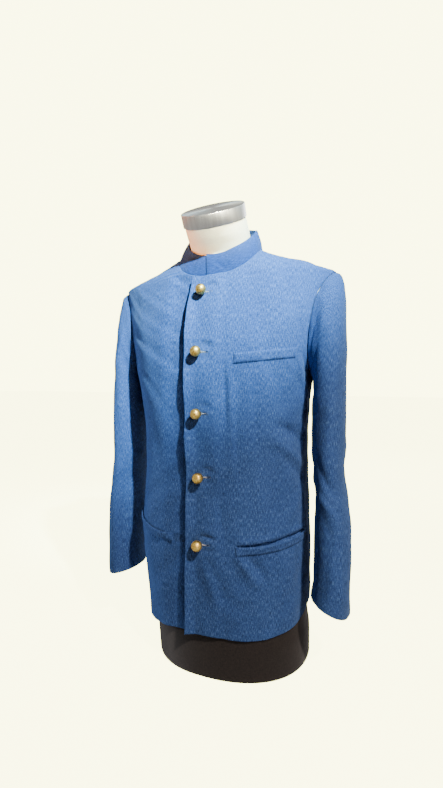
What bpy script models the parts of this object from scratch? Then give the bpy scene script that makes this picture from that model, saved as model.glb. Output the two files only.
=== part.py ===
# Mao jacket in blue chambray, buttoned left over right, on a limbless tailor's
# dress form with a leaning linen neck, a brushed steel neck cap and a dark hip block.
#
# Frame: metres, +Z up, the front faces -Y, the wearer's left is +X. The origin is
# on the surface the form stands on, under the middle of the whole.
#
# Every cloth panel lies on one body surface. A place on it is an angle round the
# body and a height: -90 degrees is the centre front, 0 the left side, 90 the
# centre back and 180 the right side.

import math

import bmesh
import bpy
import numpy as np
from mathutils import Matrix, Vector

# Cloth and seams
CLOTH = 0.0016
COLLAR_CLOTH = 0.0022
SEAM_GAP = 0.0003

# Body surface: half widths on the wearer's left and right, the Y of the centre
# front, the centre back and the sides, and the squareness of the section
BODY_COLUMNS = ("height", "left", "right", "front", "back", "side", "square")
BODY = (
    (0.000, 0.1835, 0.1350, -0.1215, 0.130, 0.025, 2.30),
    (0.060, 0.1840, 0.1425, -0.1218, 0.132, 0.025, 2.30),
    (0.110, 0.1845, 0.1500, -0.1220, 0.134, 0.025, 2.30),
    (0.160, 0.1848, 0.1580, -0.1222, 0.136, 0.025, 2.30),
    (0.210, 0.1848, 0.1660, -0.1222, 0.137, 0.025, 2.30),
    (0.260, 0.1837, 0.1700, -0.1212, 0.134, 0.025, 2.30),
    (0.310, 0.1816, 0.1660, -0.1175, 0.127, 0.025, 2.30),
    (0.360, 0.1790, 0.1635, -0.1150, 0.121, 0.025, 2.30),
    (0.410, 0.1770, 0.1625, -0.1165, 0.119, 0.025, 2.30),
    (0.460, 0.1775, 0.1655, -0.1190, 0.123, 0.025, 2.30),
    (0.510, 0.1805, 0.1745, -0.1196, 0.131, 0.025, 2.30),
    (0.560, 0.1870, 0.1870, -0.1188, 0.137, 0.025, 2.28),
    (0.610, 0.1980, 0.1980, -0.1150, 0.139, 0.024, 2.24),
    (0.660, 0.2100, 0.2100, -0.1050, 0.135, 0.022, 2.18),
    (0.710, 0.2210, 0.2210, -0.0890, 0.123, 0.020, 2.10),
    (0.735, 0.2265, 0.2265, -0.0795, 0.114, 0.0195, 2.05),
    (0.7554, 0.2300, 0.2300, -0.0700, 0.104, 0.0195, 2.00),
    (0.7640, 0.2120, 0.2120, -0.0650, 0.100, 0.0185, 2.00),
    (0.7740, 0.1860, 0.1860, -0.0580, 0.095, 0.0170, 2.00),
    (0.7840, 0.1560, 0.1560, -0.0520, 0.090, 0.0150, 2.00),
    (0.7950, 0.1230, 0.1230, -0.0450, 0.085, 0.0120, 2.00),
    (0.8127, 0.0846, 0.0846, -0.0320, 0.080, 0.0070, 2.00),
    (0.8280, 0.0720, 0.0720, -0.0220, 0.0755, 0.0070, 2.00),
    (0.8500, 0.0600, 0.0600, -0.0120, 0.0680, 0.0070, 2.00),
)

# X of the jacket's centre line, so that the whole is centred on the origin
CENTRE_SHIFT = -0.0085

# How far the wearer's left shoulder rides up and the right one drops
SHOULDER_DROP = {1: -0.0030, -1: 0.0080}
DROP_ACROSS = (0.070, 0.150)
DROP_UP = (0.560, 0.700)

# Hem: height at each angle round the body; it hangs higher on the wearer's left
HEM_COLUMNS = ("angle", "height")
HEM = (
    (-180, 0.066),
    (-150, 0.067),
    (-120, 0.077),
    (-90, 0.083),
    (-60, 0.079),
    (-32, 0.087),
    (-12, 0.103),
    (0, 0.110),
    (40, 0.106),
    (90, 0.090),
    (140, 0.070),
    (180, 0.066),
)

# Neckline and shoulder
NECK_HALF_WIDTH = 0.0846
NECK_FRONT_HEIGHT = 0.7500
NECK_SIDE_HEIGHT = 0.8127
NECK_BACK_HEIGHT = 0.8380
NECK_SCOOP = 1.1
SHOULDER_TIP_HEIGHT = 0.7554

# Armhole, seen from the side
ARMHOLE_BOTTOM = 0.560
ARMHOLE_Y = 0.020
ARMHOLE_HALF_WIDTH = 0.058
ARMHOLE_SQUARE = 2.15
ARMHOLE_SCOOP = 0.10

# Front opening
OVERLAP = 0.0247
UNDERLAP = 0.0200
OVERLAP_TOP_DROP = 0.0055
OVERLAP_LIFT = CLOTH + 0.0010
LIFT_STARTS = 0.048
LIFT_ENDS = 0.026
# The line of the buttons leans: its X at each height
CENTRE_COLUMNS = ("height", "x")
CENTRE_LINE = (
    (0.0800, 0.0100),
    (0.2487, 0.0080),
    (0.3701, 0.0058),
    (0.4866, 0.0027),
    (0.5989, -0.0006),
    (0.7137, -0.0040),
    (0.7500, -0.0050),
)

# Panel grids: cells along each seam, alike on both sides of it
EXTENSION_CELLS = 2
NECK_FRONT_CELLS = 12
NECK_BACK_CELLS = 11
SHOULDER_CELLS = 8
SIDE_CELLS = 14
ARMHOLE_FRONT_CELLS = 10
ARMHOLE_BACK_CELLS = 8
RISE_CROWDING = 1.35
# Heights on the centre line of the rows that reach the armhole's lowest point and
# the shoulder tip
FRONT_ROW_HEIGHTS = (0.5450, 0.7240)
BACK_ROW_HEIGHTS = (0.5600, 0.7700)

# Ball buttons and their buttonholes
BUTTON_HEIGHTS = (0.7137, 0.5989, 0.4866, 0.3701, 0.2487)
BUTTON_RADIUS = 0.0100
SHANK_RADIUS = 0.0012
BUTTONHOLE_LENGTH = 0.0215
BUTTONHOLE_HEIGHT = 0.0030
BUTTONHOLE_START = -0.0015
BUTTONHOLE_CUTTER_DEPTH = 8 * CLOTH
BUTTON_ARC_STEPS = 9
BUTTON_SIDES = 16

# Stand collar: its upper edge in front, at the side and at the back
COLLAR_FRONT = (-0.0500, 0.7960)
COLLAR_SIDE = (0.0725, 0.8545)
COLLAR_BACK = (0.0600, 0.8870)
# How steeply that edge rises on the wearer's left and right
COLLAR_RISE = {1: 0.82, -1: 1.15}
COLLAR_BACK_RISE = 0.60
COLLAR_BULGE = 0.0012
# X of its ends on the neckline, and how far the left end slants on to its upper
# corner, as turns of the neckline
COLLAR_LEFT_END = -0.0015
COLLAR_RIGHT_END = 0.0100
COLLAR_SLANT = 0.168
COLLAR_SLANT_FADES = 0.35
COLLAR_LIFT = COLLAR_CLOTH + 0.0010
COLLAR_LIFT_FADES = 0.0300
COLLAR_ROWS = 3

# Welts: each end's distance from the centre line and height, the height of the strip
# and how far its middle sags
WELT_COLUMNS = ("name", "side", "near_x", "near_z", "far_x", "far_z", "height", "sag")
WELTS = (
    ("chest_welt", 1, 0.0670, 0.5870, 0.1678, 0.5998, 0.0185, 0.0000),
    ("pocket_welt_left", 1, 0.0750, 0.2412, 0.1808, 0.2588, 0.0155, 0.0020),
    ("pocket_welt_right", -1, 0.0480, 0.2530, 0.1550, 0.2750, 0.0140, 0.0075),
)
WELT_CELLS_ALONG = 14
WELT_CELLS_UP = 2

# Sleeve sections from the armhole to the cuff: the outer and inner points of each
# section, the Y of its middle and its half depth
SLEEVE_COLUMNS = ("outer_x", "outer_z", "inner_x", "inner_z", "mid_y", "half_y")
SLEEVE = (
    (0.2300, 0.7554, 0.1885, 0.5600, 0.020, 0.0580),
    (0.2375, 0.7515, 0.1902, 0.5565, 0.019, 0.0600),
    (0.2432, 0.7415, 0.1910, 0.5515, 0.017, 0.0620),
    (0.2470, 0.7200, 0.1912, 0.5445, 0.014, 0.0635),
    (0.2490, 0.6850, 0.1908, 0.5345, 0.011, 0.0645),
    (0.2502, 0.6300, 0.1900, 0.5200, 0.008, 0.0650),
    (0.2510, 0.5700, 0.1893, 0.4950, 0.005, 0.0645),
    (0.2515, 0.5000, 0.1894, 0.4550, 0.002, 0.0635),
    (0.2515, 0.4300, 0.1903, 0.4100, 0.000, 0.0625),
    (0.2500, 0.3700, 0.1938, 0.3620, -0.002, 0.0610),
    (0.2560, 0.3260, 0.1965, 0.3250, -0.004, 0.0610),
    (0.2615, 0.2800, 0.1955, 0.2850, -0.008, 0.0605),
    (0.2630, 0.2100, 0.1958, 0.2180, -0.012, 0.0600),
    (0.2622, 0.1550, 0.1945, 0.1650, -0.016, 0.0590),
    (0.2610, 0.1180, 0.1905, 0.1290, -0.018, 0.0580),
)
SLEEVE_SQUARE = 2.05
SLEEVE_ROWS = 16
# First step between rows against the mean one
SLEEVE_ROW_CROWDING = 0.55
# The sleeve seams run down the inner front and the inner back: the armhole cells
# from its lowest point to each of them
FRONT_SEAM_CELLS = 2
BACK_SEAM_CELLS = 3
ARMHOLE_FADE = 0.42
# How each sleeve hangs off the table: its outer side outward, then the cuff's outer
# and inner sides outward, the cuff back and up, and its inner side and front raised
HANG_COLUMNS = ("outer", "cuff_outer", "inner", "back", "up", "inner_rise", "front_rise")
HANG = {
    1: (0.0, 0.0055, 0.0055, 0.0, -0.003, 0.020, 0.009),
    -1: (-0.0085, -0.0060, -0.003, 0.016, 0.008, 0.0, 0.0),
}
HANG_OUTER_SPAN = (0.05, 0.35)
HANG_POWER = 1.5
CUFF_RISE_POWER = 4

# Dress form: how far its skin lies under the cloth's outer face at each height
EASE_COLUMNS = ("height", "ease")
EASE = (
    (0.00, 0.0100),
    (0.17, 0.0100),
    (0.28, 0.0090),
    (0.41, 0.0120),
    (0.52, 0.0110),
    (0.62, 0.0090),
    (0.70, 0.0080),
    (0.83, 0.0080),
)
# The cloth rests on the form along the shoulder seams
SHOULDER_EASE = CLOTH + 0.0004
SHOULDER_EASE_SPREAD = 4.0
FORM_ANGLES = 32
FORM_ROWS = (0.1703, 0.21, 0.26, 0.31, 0.36, 0.41, 0.46, 0.51, 0.56, 0.61, 0.655, 0.69)
ARM_STUMP_ROW = 0.7250
# Hip block: each row's height and how far it lies under the cloth's outer face on
# the left and on the right; below the hem it is a little wider on the left
BASE_COLUMNS = ("height", "left", "right")
BASE_ROWS = (
    (0.000, -0.0020, 0.0140),
    (0.055, -0.0010, 0.0140),
    (0.095, 0.0045, 0.0130),
    (0.170, 0.0050, 0.0110),
)
BASE_ROUND = 0.004
BASE_ROUND_FROM = math.radians(60)
# Neck: the middle of each ring, its lean, and its half width and half depth
NECK_SIDE_LEAN = math.radians(-0.5)
NECK_COLUMNS = ("x", "y", "z", "lean", "half_x", "half_y")
NECK_RINGS = (
    (-0.0010, 0.0100, 0.7950, math.radians(6), 0.0590, 0.0560),
    (-0.0020, 0.0104, 0.8100, math.radians(10), 0.0615, 0.0575),
    (-0.0030, 0.0014, 0.8315, math.radians(20), 0.0632, 0.0600),
    (-0.0026, -0.0178, 0.8511, math.radians(28), 0.0627, 0.0616),
    (-0.0021, -0.0346, 0.8662, math.radians(32), 0.0615, 0.0615),
)
CAP_RADIUS = 0.0642
CAP_HEIGHT = 0.0255
CAP_ROUND = 0.0020
CAP_SIDES = 48
ROUND_SEGMENTS = 2

# Colour, roughness and metallic value of each material
CHAMBRAY = ((0.105, 0.205, 0.430), 0.85, 0.0)
CHAMBRAY_COLLAR = ((0.080, 0.180, 0.430), 0.85, 0.0)
LINEN = ((0.720, 0.665, 0.560), 0.90, 0.0)
STEEL = ((0.560, 0.550, 0.520), 0.32, 1.0)
BRASS = ((0.600, 0.400, 0.160), 0.38, 1.0)
BLACK_CLOTH = ((0.018, 0.014, 0.013), 0.80, 0.0)

# Steeper turns than this shade as an edge
SHARP_ANGLE = math.radians(40)
# A small step for slopes, and the samples along a line before it is cut evenly
STEP = 1e-4
FINE = 200


def column(table, columns, name):
    place = columns.index(name)
    return np.array([row[place] for row in table], float)


def smooth_curve(xs, ys, x):
    """A curve through the points of a table that adds no bumps between them."""
    x = np.clip(x, xs[0], xs[-1])
    step = np.diff(xs)
    slope = np.diff(ys) / step
    tangent = np.zeros(len(xs))
    tangent[0], tangent[-1] = slope[0], slope[-1]
    for i in range(1, len(xs) - 1):
        if slope[i - 1] * slope[i] > 0:
            before = 2 * step[i] + step[i - 1]
            after = step[i] + 2 * step[i - 1]
            tangent[i] = (before + after) / (before / slope[i - 1] + after / slope[i])
    i = np.clip(np.searchsorted(xs, x, side="right") - 1, 0, len(xs) - 2)
    t = (x - xs[i]) / step[i]
    start = (1 + 2 * t) * (1 - t) ** 2 * ys[i] + t * (1 - t) ** 2 * step[i] * tangent[i]
    end = t * t * (3 - 2 * t) * ys[i + 1] + t * t * (t - 1) * step[i] * tangent[i + 1]
    return start + end


def body_size(name, z):
    heights = column(BODY, BODY_COLUMNS, "height")
    return smooth_curve(heights, column(BODY, BODY_COLUMNS, name), z)


def eased(low, high, x):
    """0 below the low value, 1 above the high one and smooth between."""
    t = np.clip((x - low) / (high - low), 0, 1)
    return t * t * (3 - 2 * t)


def hump(share):
    """0 at both ends and 1 in the middle."""
    return 4 * share * (1 - share)


def settled(points):
    """The shoulders hang unevenly: one side rides up and the other drops."""
    x, z = points[..., 0], points[..., 2]
    drop = np.where(x >= 0, SHOULDER_DROP[1], SHOULDER_DROP[-1])
    drop = drop * eased(*DROP_ACROSS, np.abs(x)) * eased(*DROP_UP, z)
    return np.stack([x, points[..., 1], z - drop], -1)


def level_point(angle, z):
    """Points of the body surface with level shoulders."""
    angle, z = np.broadcast_arrays(np.asarray(angle, float), np.asarray(z, float))
    c, s = np.cos(angle), np.sin(angle)
    side = body_size("side", z)
    wide = np.where(c >= 0, body_size("left", z), body_size("right", z))
    deep = np.where(s >= 0, body_size("back", z) - side, side - body_size("front", z))
    square = body_size("square", z)
    k = (np.abs(c) ** square + np.abs(s) ** square) ** (-1 / square)
    return np.stack([wide * c * k, side + deep * s * k, z], -1)


def body_point(angle, z):
    """Points of the body surface at angles in radians and heights."""
    return settled(level_point(angle, z))


def body_normal(angle, z):
    round_it = body_point(angle + STEP, z) - body_point(angle - STEP, z)
    up_it = body_point(angle, z + STEP) - body_point(angle, z - STEP)
    normal = np.cross(round_it, up_it)
    return normal / np.linalg.norm(normal, axis=-1, keepdims=True)


def angle_from_share(share, square):
    """The angle from the axis on which a coordinate is this share of its half size."""
    share = np.clip(np.abs(share), 1e-9, 1 - 1e-12)
    return np.arctan((share**-square - 1) ** (1 / square))


def angle_at_x(x, z, front=True):
    """Angle of the front or back point with this X."""
    x, z = np.broadcast_arrays(np.asarray(x, float), np.asarray(z, float))
    wide = np.where(x >= 0, body_size("left", z), body_size("right", z))
    from_side = angle_from_share(x / wide, body_size("square", z))
    angle = np.where(x >= 0, -from_side, from_side - math.pi)
    return angle if front else -angle


def angle_at_y(y, z):
    """Angle of the left side's point with this Y."""
    side = body_size("side", z)
    deep = np.where(y >= side, body_size("back", z) - side, side - body_size("front", z))
    share = (y - side) / deep
    from_front = angle_from_share(share, body_size("square", z))
    return np.sign(share) * (math.pi / 2 - from_front)


def hem_height(angle):
    degrees = np.degrees(np.arctan2(np.sin(angle), np.cos(angle)))
    return smooth_curve(
        column(HEM, HEM_COLUMNS, "angle"), column(HEM, HEM_COLUMNS, "height"), degrees
    )


def centre_x(z):
    heights = column(CENTRE_LINE, CENTRE_COLUMNS, "height")
    return smooth_curve(heights, column(CENTRE_LINE, CENTRE_COLUMNS, "x"), z)


def neck_place(turn):
    """Place on the neckline: turn is 0 in front, a quarter on the left, a half behind."""
    turn = np.asarray(turn, float)
    x = NECK_HALF_WIDTH * np.sin(turn)
    before = NECK_FRONT_HEIGHT + (NECK_SIDE_HEIGHT - NECK_FRONT_HEIGHT) * (
        np.clip(1 - np.cos(turn), 0, 1) ** NECK_SCOOP
    )
    rise = NECK_BACK_HEIGHT - NECK_SIDE_HEIGHT
    behind = NECK_SIDE_HEIGHT + rise * (1 - np.abs(np.sin(turn)))
    in_front = np.cos(turn) >= -1e-9
    z = np.where(in_front, before, behind)
    angle = np.where(in_front, angle_at_x(x, z), angle_at_x(x, z, front=False))
    return np.stack([angle, z], -1)


def neckline_height(angle):
    """Height of the neckline at any angle round the body."""
    places = neck_place(np.linspace(0, math.pi, FINE))
    left = np.arctan2(np.sin(angle), np.abs(np.cos(angle)))
    return np.interp(left, places[:, 0], places[:, 1])


def armhole_place(turn):
    """Place of the left armhole: turn is 0 at its lowest point, then rises in front."""
    half_height = (SHOULDER_TIP_HEIGHT - ARMHOLE_BOTTOM) / 2
    c, s = np.cos(turn), np.sin(turn)
    k = (np.abs(c) ** ARMHOLE_SQUARE + np.abs(s) ** ARMHOLE_SQUARE) ** (-1 / ARMHOLE_SQUARE)
    z = ARMHOLE_BOTTOM + half_height * (1 - c * k)
    scoop = 1 + ARMHOLE_SCOOP * c
    y = ARMHOLE_Y - ARMHOLE_HALF_WIDTH * s * k * scoop
    at_ends = np.abs(s) < 1e-6
    y = np.where(at_ends, body_size("side", z), y)
    z = np.minimum(z, SHOULDER_TIP_HEIGHT)
    return np.stack([np.where(at_ends, 0.0, angle_at_y(y, z)), z], -1)


def walked_along(points):
    return np.r_[0, np.cumsum(np.linalg.norm(np.diff(points, axis=0), axis=1))]


def steps_at(points, shares):
    """Where on a line's samples these shares of its real length lie."""
    walked = walked_along(points)
    samples = np.linspace(0, 1, len(points))
    return np.interp(np.asarray(shares) * walked[-1], walked, samples)


def even_steps(points, cells):
    return steps_at(points, np.linspace(0, 1, cells + 1))


def spread(places, shares):
    """The line's places at these shares of its real length."""
    samples = np.linspace(0, 1, len(places))
    even = steps_at(body_point(places[:, 0], places[:, 1]), shares)
    return np.stack([np.interp(even, samples, places[:, i]) for i in range(2)], -1)


def joined(*lines):
    return np.vstack([lines[0]] + [line[1:] for line in lines[1:]])


def neck_turns(back):
    """Turns of the neckline's points on one panel, away from the centre."""
    if back:
        turn = np.linspace(math.pi, math.pi / 2, FINE)
        cells = NECK_BACK_CELLS
    else:
        turn = np.linspace(0, math.pi / 2, FINE)
        cells = NECK_FRONT_CELLS
    places = neck_place(turn)
    shares = even_steps(body_point(places[:, 0], places[:, 1]), cells)
    return turn[0] + (turn[-1] - turn[0]) * shares


def armhole_turns(back):
    """Turns of the armhole's points on one panel, up from its lowest point."""
    end = 2 * math.pi if back else 0.0
    turn = np.linspace(end, math.pi, FINE)
    places = armhole_place(turn)
    cells = ARMHOLE_BACK_CELLS if back else ARMHOLE_FRONT_CELLS
    crowded = 1 - (1 - np.linspace(0, 1, cells + 1)) ** RISE_CROWDING
    shares = steps_at(body_point(places[:, 0], places[:, 1]), crowded)
    return end + (math.pi - end) * shares


def side_seam(low):
    z = np.linspace(low, ARMHOLE_BOTTOM, FINE)
    return spread(np.stack([np.zeros(FINE), z], -1), np.linspace(0, 1, SIDE_CELLS + 1))


def shoulder_seam():
    z = np.linspace(NECK_SIDE_HEIGHT, SHOULDER_TIP_HEIGHT, FINE)
    return spread(np.stack([np.zeros(FINE), z], -1), np.linspace(0, 1, SHOULDER_CELLS + 1))


def hem_line(start, mirror, cells):
    angle = np.linspace(start, 0.0, FINE)
    height = hem_height(math.pi - angle if mirror else angle)
    return spread(np.stack([angle, height], -1), np.linspace(0, 1, cells + 1))


def inner_x(back, mirror, z):
    """X of a panel's inner edge in the left half: the centre back seam, or a front's
    free edge beyond the centre line."""
    if back:
        return np.zeros_like(z)
    return -UNDERLAP - centre_x(z) if mirror else centre_x(z) - OVERLAP


def filled(inner, outer, hem, top, start):
    """A grid of places between four edges, in rows that rise from the hem. It is
    worked out on a flat sheet: the distance across from the start angle, and up."""

    def flat(places):
        wide = body_size("left", places[..., 1])
        return np.stack([wide * (places[..., 0] - start), places[..., 1]], -1)

    inner, outer, hem, top = (flat(edge) for edge in (inner, outer, hem, top))
    up = np.linspace(0, 1, len(inner))[:, None, None]
    across = np.linspace(0, 1, len(hem))[None, :, None]
    sides = (1 - across) * inner[:, None] + across * outer[:, None]
    ends = (1 - up) * hem[None] + up * top[None]
    corners = (
        (1 - up) * (1 - across) * hem[0]
        + (1 - up) * across * hem[-1]
        + up * (1 - across) * top[0]
        + up * across * top[-1]
    )
    grid = sides + ends - corners
    grid[..., 0] = grid[..., 0] / body_size("left", grid[..., 1]) + start
    return grid


def panel_places(back, mirror):
    """Grid of a panel in the left half; a front reaches past the centre."""
    sign = 1 if back else -1
    neck = neck_place(neck_turns(back))
    neck_top = float(neck[0, 1])
    top = neck
    if not back:
        past = np.linspace(inner_x(back, mirror, neck_top), 0, EXTENSION_CELLS + 1)
        z = neck_top - OVERLAP_TOP_DROP * np.abs(past) / OVERLAP
        top = joined(np.stack([angle_at_x(past, z), z], -1), top)
    side_low = float(hem_height(math.pi if mirror else 0.0))
    armhole = armhole_place(armhole_turns(back))
    stretches = (side_seam(side_low), armhole, shoulder_seam()[::-1])
    outer = joined(*stretches)
    low = float(hem_height(sign * math.pi / 2))
    start = float(angle_at_x(inner_x(back, mirror, low), low, not back))
    hem = hem_line(start, mirror, len(top) - 1)
    walked = walked_along(body_point(outer[:, 0], outer[:, 1]))
    ends = np.cumsum([0] + [len(line) - 1 for line in stretches])
    rows = BACK_ROW_HEIGHTS if back else FRONT_ROW_HEIGHTS
    heights = np.interp(walked, walked[ends], (hem[0, 1], *rows, top[0, 1]))
    inner_angle = angle_at_x(inner_x(back, mirror, heights), heights, not back)
    inner = np.stack([inner_angle, heights], -1)
    hem[0, 0] = inner[0, 0]
    return filled(inner, outer, hem, top, sign * math.pi / 2)


def overlap_lift(points):
    """The left front rides over the right one near the centre line."""
    past = centre_x(points[..., 2]) - points[..., 0]
    return OVERLAP_LIFT * eased(-LIFT_STARTS, -LIFT_ENDS, past)


def pulled_in(points, gap):
    """The grid with its four edges moved in by a gap."""
    moved = points.copy()
    for axis in (0, 1):
        rows = np.moveaxis(points, axis, 0)
        target = np.moveaxis(moved, axis, 0)
        for edge, inner in ((0, 1), (-1, -2)):
            inward = rows[inner] - rows[edge]
            along = np.gradient(rows[edge], axis=0)
            along /= np.linalg.norm(along, axis=-1, keepdims=True)
            inward -= along * (inward * along).sum(-1, keepdims=True)
            inward /= np.linalg.norm(inward, axis=-1, keepdims=True)
            target[edge] += inward * gap
    return moved


def material(name, look):
    colour, roughness, metallic = look
    made = bpy.data.materials.new(name)
    made.use_nodes = True
    shader = made.node_tree.nodes["Principled BSDF"]
    shader.inputs["Base Color"].default_value = (*colour, 1)
    shader.inputs["Roughness"].default_value = roughness
    shader.inputs["Metallic"].default_value = metallic
    made.diffuse_color = (*colour, 1)
    return made


def add_object(name, mesh, look, collection):
    made = bpy.data.objects.new(name, mesh)
    mesh.materials.append(material(name + "_material", look))
    mesh.shade_smooth()
    mesh.set_sharp_from_angle(angle=SHARP_ANGLE)
    collection.objects.link(made)
    return made


def ring_mesh(name, points):
    """A surface through closed rings of points."""
    rows, columns = points.shape[:2]
    mesh = bpy.data.meshes.new(name)
    faces = []
    for i in range(rows - 1):
        for j in range(columns):
            k = (j + 1) % columns
            low, high = i * columns, (i + 1) * columns
            faces.append((low + j, low + k, high + k, high + j))
    mesh.from_pydata([tuple(p) for p in points.reshape(-1, 3)], [], faces)
    return mesh


def wall_mesh(name, outer, normals, thickness):
    """Cloth of this thickness behind a grid of outer points: both faces and the rim.
    Neighbours share the normals on their seam, so their edges stay parallel."""
    rows, columns = outer.shape[:2]
    inner = outer - normals * thickness
    points = np.concatenate([outer.reshape(-1, 3), inner.reshape(-1, 3)])
    behind = rows * columns
    faces = []
    for i in range(rows - 1):
        for j in range(columns - 1):
            a, b = i * columns + j, (i + 1) * columns + j
            faces.append((a, a + 1, b + 1, b))
            faces.append((b + behind, b + 1 + behind, a + 1 + behind, a + behind))
    bottom = list(range(columns))
    right = [i * columns + columns - 1 for i in range(1, rows)]
    top = [(rows - 1) * columns + j for j in range(columns - 2, -1, -1)]
    left = [i * columns for i in range(rows - 2, 0, -1)]
    rim = bottom + right + top + left
    for a, b in zip(rim, rim[1:] + rim[:1]):
        faces.append((b, a, a + behind, b + behind))
    mesh = bpy.data.meshes.new(name)
    mesh.from_pydata([tuple(p) for p in points], [], faces)
    if mesh.polygons[0].normal.dot(Vector(normals[0, 0])) < 0:
        mesh.flip_normals()
    return mesh


def grid_normals(points, outward):
    """Normals of a grid, on the side of the outward vectors."""
    along = np.gradient(points, axis=1)
    up = np.gradient(points, axis=0)
    normals = np.cross(along, up)
    normals /= np.linalg.norm(normals, axis=-1, keepdims=True)
    return normals * np.sign((normals * outward).sum(-1, keepdims=True))


def cloth_panel(name, places, mirror, collection, lift=None):
    """A panel of the body: its places in the left half, or mirrored to the right."""
    angle = math.pi - places[..., 0] if mirror else places[..., 0]
    points = body_point(angle, places[..., 1])
    normals = body_normal(angle, places[..., 1])
    if lift is not None:
        points = points + normals * lift(points)[..., None]
    points = pulled_in(points, SEAM_GAP / 2)
    mesh = wall_mesh(name, points, normals, CLOTH)
    return add_object(name, mesh, CHAMBRAY, collection)


def buttonhole_cutters(cutters):
    made = []
    for number, height in enumerate(BUTTON_HEIGHTS, 1):
        middle = centre_x(height) + BUTTONHOLE_START + BUTTONHOLE_LENGTH / 2
        place = angle_at_x(middle, height)
        mesh = bpy.data.meshes.new("buttonhole_%d_cutter" % number)
        shape = bmesh.new()
        bmesh.ops.create_cube(shape, size=1.0)
        size = Vector((BUTTONHOLE_LENGTH, BUTTONHOLE_CUTTER_DEPTH, BUTTONHOLE_HEIGHT))
        bmesh.ops.scale(shape, vec=size, verts=shape.verts)
        shape.to_mesh(mesh)
        shape.free()
        cutter = bpy.data.objects.new(mesh.name, mesh)
        cutter.location = Vector(body_point(place, height))
        normal = body_normal(place, height)
        cutter.rotation_euler = (math.atan2(-normal[2], -normal[1]), 0, 0)
        cutter.hide_render = True
        cutter.display_type = "WIRE"
        cutters.objects.link(cutter)
        made.append(cutter)
    return made


def fronts(collection, cutters):
    left = cloth_panel(
        "front_left", panel_places(False, False), False, collection, overlap_lift
    )
    for cutter in buttonhole_cutters(cutters):
        cut = left.modifiers.new(cutter.name, "BOOLEAN")
        cut.operation = "DIFFERENCE"
        cut.solver = "EXACT"
        cut.object = cutter
    cloth_panel("front_right", panel_places(False, True), True, collection)


def backs(collection):
    cloth_panel("back_left", panel_places(True, False), False, collection)
    cloth_panel("back_right", panel_places(True, True), True, collection)


def collar_top(turn):
    """Upper edge of the collar at a turn of the neckline."""
    x = COLLAR_SIDE[0] * np.sin(turn)
    middle = (COLLAR_FRONT[0] + COLLAR_BACK[0]) / 2
    y = middle - (COLLAR_BACK[0] - COLLAR_FRONT[0]) / 2 * np.cos(turn)
    steepness = np.where(x >= 0, COLLAR_RISE[1], COLLAR_RISE[-1])
    before = COLLAR_FRONT[1] + (COLLAR_SIDE[1] - COLLAR_FRONT[1]) * (
        np.clip(1 - np.cos(turn), 0, 1) ** steepness
    )
    rise = COLLAR_BACK[1] - COLLAR_SIDE[1]
    behind = COLLAR_SIDE[1] + rise * (1 - np.abs(np.sin(turn))) ** COLLAR_BACK_RISE
    return np.stack([x, y, np.where(np.cos(turn) >= 0, before, behind)], -1)


def collar_turns():
    """Turns of the collar's columns, which meet the panels' points on the neckline."""
    front = neck_turns(False)
    back = neck_turns(True)[::-1]
    left = joined(front[:, None], back[:, None])[:, 0]
    right = 2 * math.pi - left[::-1]
    turns = np.r_[left, right[1:], 2 * math.pi + math.asin(COLLAR_RIGHT_END / NECK_HALF_WIDTH)]
    turns[0] = math.asin(COLLAR_LEFT_END / NECK_HALF_WIDTH)
    return turns


def collar_points():
    """The band all round: its seam lies on the neckline and its left end lies over
    its right one."""
    turns = collar_turns()
    places = neck_place(turns)
    low = body_point(places[:, 0], places[:, 1])
    slant = COLLAR_SLANT * eased(-COLLAR_SLANT_FADES, 0, turns[0] - turns)
    high = collar_top(turns - slant)
    outward = body_normal(places[:, 0], places[:, 1])
    lift = COLLAR_LIFT * eased(-COLLAR_LIFT_FADES, 0, -NECK_HALF_WIDTH * turns)
    grid = []
    for share in np.linspace(0, 1, COLLAR_ROWS + 1):
        bulge = COLLAR_BULGE * hump(share)
        grid.append((1 - share) * low + share * high + outward * (bulge + lift)[:, None])
    return np.array(grid), outward


def collar(collection):
    points, seam_normals = collar_points()
    outward = points - np.array([0, points[..., 1].mean(), 0])
    outward[..., 2] = 0
    normals = grid_normals(points, outward)
    normals[0] = seam_normals
    mesh = wall_mesh("collar", pulled_in(points, SEAM_GAP / 2), normals, COLLAR_CLOTH)
    add_object("collar", mesh, CHAMBRAY_COLLAR, collection)


def welt_places(welt):
    """Angles and heights of a welt's grid on the body."""
    across = np.linspace(0, 1, WELT_CELLS_ALONG + 1)[None, :]
    rise = np.linspace(-0.5, 0.5, WELT_CELLS_UP + 1)[:, None]
    near = angle_at_x(welt["side"] * welt["near_x"], welt["near_z"])
    far = angle_at_x(welt["side"] * welt["far_x"], welt["far_z"])
    middle = welt["near_z"] + (welt["far_z"] - welt["near_z"]) * across
    z = middle - welt["sag"] * hump(across) + welt["height"] * rise
    return np.broadcast_to(near + (far - near) * across, z.shape), z


def welts(collection):
    for row in WELTS:
        welt = dict(zip(WELT_COLUMNS, row))
        angle, z = welt_places(welt)
        normals = body_normal(angle, z)
        points = body_point(angle, z) + normals * (SEAM_GAP + CLOTH)
        mesh = wall_mesh(welt["name"], points, normals, CLOTH)
        add_object(welt["name"], mesh, CHAMBRAY, collection)


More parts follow.
